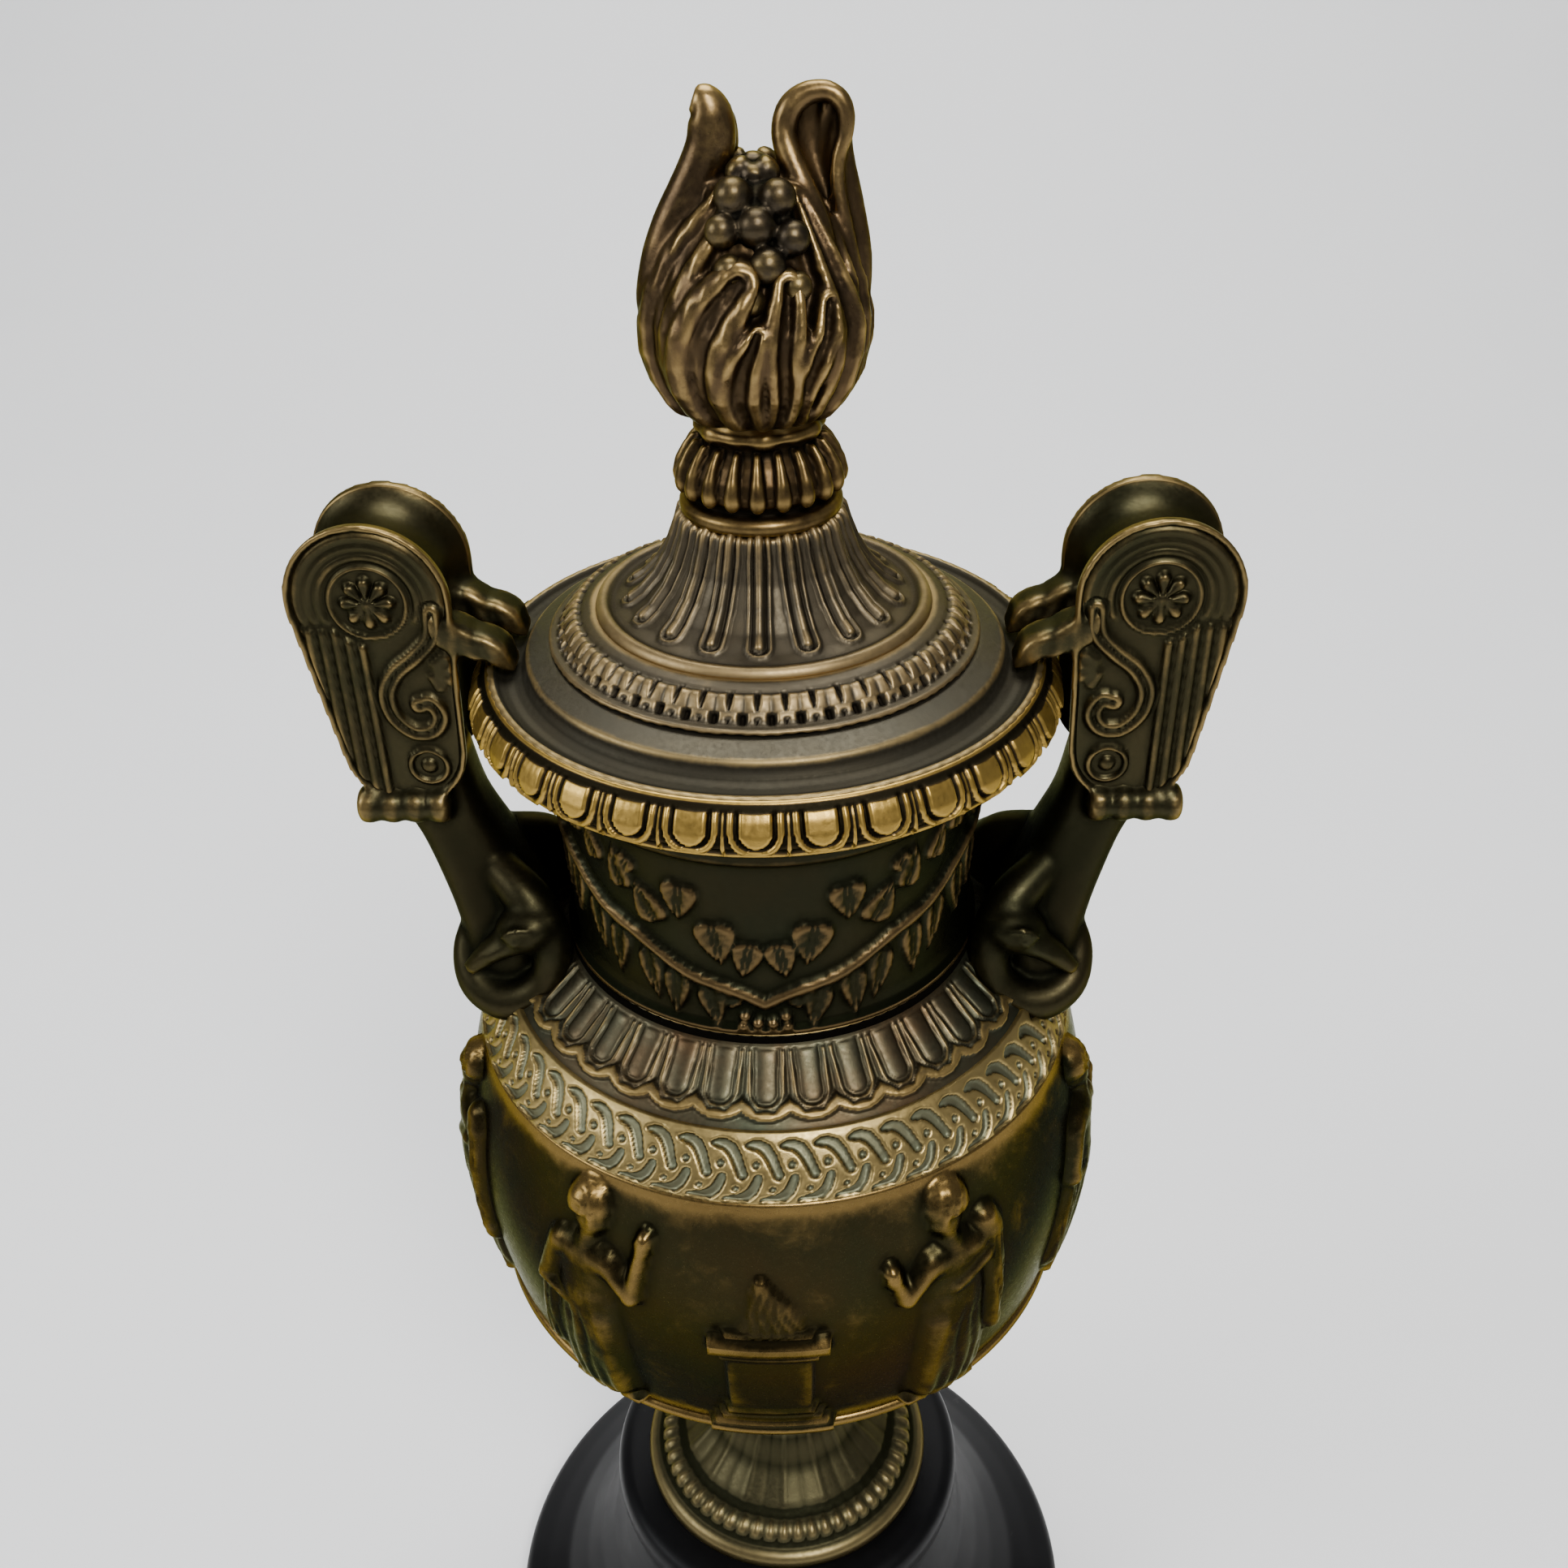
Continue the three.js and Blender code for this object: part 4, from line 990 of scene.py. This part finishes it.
# ---------------------------------------------------------------- finial: bud
# The bud is one lost-wax casting: flame-like leaves with thick rolled rims lie over each other round
# a swelling bud, two tall petals curl open at the top, and berries fill the gap between them.

bud_bronze = patinated_bronze("brown_bud_bronze", "120d09", "3f3325", "5c4a32", "b4975f", 0.05, 0.55,
                              rub_most=0.9, deep_at=0.6, shine=0.3, spread=60.0)
berry_bronze = patinated_bronze("dark_berry_bronze", "100e0b", "332e28", "433a2c", "a08850", 0.2, 0.62,
                                rub_most=0.75, deep_at=0.3, shine=0.34, spread=60.0)
BUD_FOOT, BUD_TIP = 370.6, 412.4
BUD = np.array([(BUD_FOOT, 10.2), (372.4, 13), (375, 15.4), (379, 17.6), (384, 18.9), (389, 18.9),
                (395, 17.3), (401, 14.4), (406, 11.2), (410, 8), (BUD_TIP, 4)])


def leaf_on_bud(degrees, heights, spine, lift):
    """Relief of one fleshy leaf with a broad rounded rim and a soft hollow, and where it lies. spine
    runs up its middle: [degrees round the bud, height, half width]."""
    path = curve_through(spine, 26)
    part = np.full(degrees.shape, np.inf)
    radius = np.interp(heights, BUD[:, 0], BUD[:, 1]) + 1
    for a, b in zip(path[:-1], path[1:]):
        ax, ay = np.radians(degrees - a[0]) * radius, heights - a[1]
        bx, by = np.radians(b[0] - a[0]) * radius, b[1] - a[1]
        along, distance = from_line(ax, ay, (0, 0), (bx, by))
        part = np.minimum(part, distance / (a[2] + (b[2] - a[2]) * along))
    rim = dome(part - 0.66, 0.42) ** 0.55
    hollow = 0.36 + 0.12 * dome(part, 0.2)
    body = np.where(part < 0.66, np.maximum(rim, hollow), rim)
    return 1.35 * lift * body * (part < 1.04), part < 1.0


# the leaves, lowest first: how far each rises off the bud, and its middle line
BUD_LEAVES = [
    (1.5, [(-70, 371, 2.5), (-66, 382, 4.6), (-62, 392, 4.2), (-56, 402, 2.6), (-50, 409, 1.2)]),
    (2.0, [(-50, 371, 3.4), (-57, 382, 5.6), (-56, 391, 6.2), (-48, 399, 5.2), (-35, 405, 3.2),
           (-28, 410, 1.2)]),
    (1.5, [(74, 371, 2.6), (80, 382, 3.4), (84, 392, 3.2), (86, 401, 2.2), (88, 408, 1.2)]),
    (1.8, [(54, 371, 2.4), (60, 382, 3.0), (68, 391, 2.8), (74, 399, 2.4), (78, 407, 1.2)]),
    (2.2, [(42, 371, 2.6), (50, 382, 3.6), (53, 390, 3.5), (50, 397, 3.0), (48, 403, 2.2), (47, 409, 1.1)]),
    (2.3, [(26, 371, 1.6), (24, 378, 2.4), (30, 384, 2.8), (37, 389, 2.7), (41, 394, 1.8)]),
    (2.6, [(-20, 371, 3.2), (-28, 379, 5.0), (-27, 386, 5.8), (-20, 392, 5.4), (-11, 396, 4.2),
           (-6, 397.6, 3.2)]),
    (2.5, [(12, 371, 1.8), (16, 378, 2.8), (15, 386, 3.2), (17, 392, 3.3), (20, 397, 2.4)]),
    (2.6, [(-1, 371, 2.4), (-7, 378, 3.5), (-5, 383.6, 3.6), (0, 388, 2.2), (3, 390.6, 1.2)])]
BUD_LEAVES += [(1.9, [(turn, 371, 2.6), (turn + lean, 383, 4.4), (turn + lean, 394, 4.0), (turn, top, 1.6)])
               for turn, lean, top in [(-98, -6, 405), (112, 6, 404), (-128, 5, 399), (140, -5, 400),
                                       (-158, -5, 406), (168, 6, 404)]]


def bud_core():
    """The bud's own surface with its leaves, as a stack of rings."""
    heights, degrees = np.meshgrid(np.linspace(BUD_FOOT, BUD_TIP, 150), np.arange(420) / 420 * 360 - 180,
                                   indexing="ij")
    radius = np.interp(heights, BUD[:, 0], BUD[:, 1]) - 1.0
    lift = np.zeros(heights.shape)
    for rise, spine in BUD_LEAVES:
        relief, inside = leaf_on_bud(degrees, heights, spine, rise)
        lift = np.where(inside, relief + 0.1 * lift, np.maximum(lift, relief))
    gathered = ease((heights - BUD_FOOT) / 3) * ease((BUD_TIP - heights) / 2)
    radius = radius + lift * gathered + 0.12 * np.sin(np.radians(degrees) * 40 + heights * 0.25)
    turn = np.radians(degrees)
    return tube(radius * np.sin(turn), -radius * np.cos(turn), heights)


BACKWARD = np.array([0, 1, 0.25])


def cupped_petal(left, right, bulge, thick):
    """A petal's blade between its two edges, each a list of [x, y, z], bulging back by bulge mm."""
    left, right = curve_through(left, 40), curve_through(right, 40)
    wide = np.linspace(0, 1, 13)[:, None]
    front = left[:, None] + (right - left)[:, None] * wide + BACKWARD * bulge * np.sin(np.pi * wide)
    return loft(np.concatenate([front, (front + BACKWARD * thick)[:, ::-1]], 1))


left_petal = [
    rod([(-10, -2, 376, 1.4), (-14, -3, 384, 2), (-16.2, -3.6, 390, 3), (-15, -4, 396.6, 3.4),
         (-12.6, -3.6, 403, 3.5), (-8.8, -2.4, 410, 3.5), (-6.5, -2, 415, 3.5), (-6.2, -2, 419, 3.3),
         (-7.2, -2, 421.4, 2.7), (-9, -2, 422.2, 1.7)], sides=18, count=54, flatten=1.15),
    rod([(-13.6, 2, 396, 2.6), (-9, 3, 407, 3.4), (-5.6, 2, 413, 3.2), (-4.6, 0.6, 418, 2.4),
         (-5.6, 0, 421, 1.6)], count=34)]
RIM_LEFT = [(13, -8, 398), (10.8, -6, 404), (8, -3.4, 409.4), (6, -1.4, 413.6), (5.2, -0.4, 417),
            (6.2, 0, 420.2)]
RIM_RIGHT = [(17, -4, 394), (15, -2.6, 402), (13.8, -1.6, 408.4), (13.9, -1, 412.8), (15, -0.8, 416.4),
             (15, -0.6, 419.6)]
RIM_TOP = [(8.6, 0.2, 422.1), (11.7, 0, 422.6), (13.9, -0.4, 421.6)]
RIM_RADII = [1.2, 1.9, 2.2, 2.2, 2.1, 2.1, 1.9, 1.7, 1.6, 1.5, 1.3, 1.2, 1.3, 1.5, 1.3]
rim = [(*place, radius) for place, radius in zip(RIM_LEFT + RIM_TOP + RIM_RIGHT[::-1], RIM_RADII)]
right_petal = [
    rod(rim, count=110), cupped_petal(RIM_LEFT + RIM_TOP[:1], RIM_RIGHT + RIM_TOP[2:], 3, 1.6),
    rod([(13.2, 0, 404, 0.7), (11.6, 1.4, 411, 0.7), (11.4, 2.4, 417, 0.6), (11.6, 1.6, 421, 0.5)], 8),
    rod([(12, 0, 376, 1.2), (16.4, 0.4, 386, 2), (17.2, 1, 396, 2.4), (15.4, 1.6, 405, 2.8),
         (14, 2, 412, 2.6), (14.4, 1.6, 418, 1.6)], count=36)]
store_wear_and_shade(cast_together("finial_bud", [bud_core(), *left_petal, *right_petal], 0.5, bud_bronze, "finial"), passes=14)
berries = [ball((x, y - 1.3, z), (r, r, r)) for x, y, z, r in
           [(-2.8, -8.6, 409.2, 3.1), (4.3, -8.2, 408.8, 3), (0.9, -10.8, 405, 3.1),
            (-4.6, -10.8, 404.4, 2.8), (6.6, -10.6, 403.2, 2.9), (2.7, -13.4, 399.6, 3),
            (-3.4, -13.2, 398.8, 2.7), (7.2, -13.4, 396.4, 2.6), (0, -14.8, 394.4, 2.4)]]
lumps = [ball((x, y, z), (2.3, 2.2, 1.7), pitch=20 * x) for x, y, z in
         [(-2.2, -4.6, 412.2), (2.8, -4.4, 412), (0.4, -1.6, 412.6), (0.5, -5.6, 411.6), (-2.8, 1.4, 412.2),
          (2.4, 3, 412)]]
backing = ball((1.2, -5.6, 402.4), (7.2, 7.3, 8.8))
store_wear_and_shade(cast_together("finial_berries", [*berries, *lumps, backing], 0.5, berry_bronze, "finial",
                      easing=1), passes=14)


# ---------------------------------------------------------------- floor, light and camera
# A plain pale floor that sweeps up behind, a large soft window light, a weaker fill and a pale room.

def pale_backdrop():
    """Matt pale grey board, even and without gloss, with the faintest mottling."""
    material, tree, shader = new_material("matt_pale_board")
    place = node_in(tree, "ShaderNodeTexCoord").outputs["Object"]
    mottle = node_in(tree, "ShaderNodeTexNoise", links={"Vector": place},
                     sockets={"Scale": 6.0, "Detail": 4.0})
    tone = node_in(tree, "ShaderNodeMix", {"data_type": "RGBA"}, {0: mottle.outputs["Fac"]},
                   {6: linear("e6e7e8"), 7: linear("ebebeb")})
    tree.links.new(tone.outputs[2], shader.inputs["Base Color"])
    shader.inputs["Roughness"].default_value = 0.85
    return material


# in metres: where the floor starts, where it starts to sweep up and how widely, and the wall's top
FLOOR_FRONT, SWEEP_FROM, SWEEP, WALL_TOP, HALF_WIDTH = -1.6, 0.8, 0.9, 2.6, 3.2
curve = [(SWEEP_FROM + SWEEP * math.sin(turn), SWEEP - SWEEP * math.cos(turn))
         for turn in np.linspace(0, math.pi / 2, 90)]
sweep = [(FLOOR_FRONT, 0), *curve, (SWEEP_FROM + SWEEP, WALL_TOP)]
points = [(x, y, z) for y, z in sweep for x in (-HALF_WIDTH, HALF_WIDTH)]
faces = [(2 * k, 2 * k + 1, 2 * k + 3, 2 * k + 2) for k in range(len(sweep) - 1)]
board = bpy.data.meshes.new("floor")
board.from_pydata(points, [], faces)
board.shade_smooth()
board.materials.append(pale_backdrop())
placed("floor", board)


def soft_light(name, place, target, size, power, colour):
    """A large soft light that looks from place to target."""
    data = bpy.data.lights.new(name, "AREA")
    data.shape, data.size, data.energy, data.color = "DISK", size, power, colour
    lamp = placed(name, data)
    lamp.location = place
    lamp.rotation_euler = (Vector(target) - Vector(place)).to_track_quat("-Z", "Y").to_euler()


URN_MIDDLE, BEHIND_URN = (0, 0, 0.25), (0, 0.7, 0)
soft_light("window", (0.4, -1.2, 1.6), URN_MIDDLE, size=0.75, power=34, colour=(1.0, 0.98, 0.95))
soft_light("side", (-1.3, -0.5, 1.0), URN_MIDDLE, size=0.8, power=12, colour=(0.95, 0.97, 1.0))
soft_light("overhead", (0, 0.6, 1.9), BEHIND_URN, size=1.2, power=38, colour=(1.0, 1.0, 1.0))
world = bpy.data.worlds.new("pale_room")
world.use_nodes = True
sky = world.node_tree.nodes["Background"].inputs
sky["Color"].default_value = linear("d8dade")
sky["Strength"].default_value = 0.36
bpy.context.scene.world = world

lens = bpy.data.cameras.new("camera")
lens.lens, lens.sensor_width = 35.4, 36.0
lens.clip_start = 0.01
camera = placed("camera", lens)
down, heading, roll = math.radians(33.4), math.radians(-1.83), math.radians(-1.2)
forward = Vector((math.sin(heading) * math.cos(down), math.cos(heading) * math.cos(down), -math.sin(down)))
level = forward.cross(Vector((0, 0, 1))).normalized()
above = level.cross(forward)
right = level * math.cos(roll) + above * math.sin(roll)
upward = right.cross(forward)
camera.matrix_world = Matrix((right, upward, -forward)).transposed().to_4x4()
camera.location = (0.0114, -0.2614, 0.4650)
bpy.context.scene.camera = camera
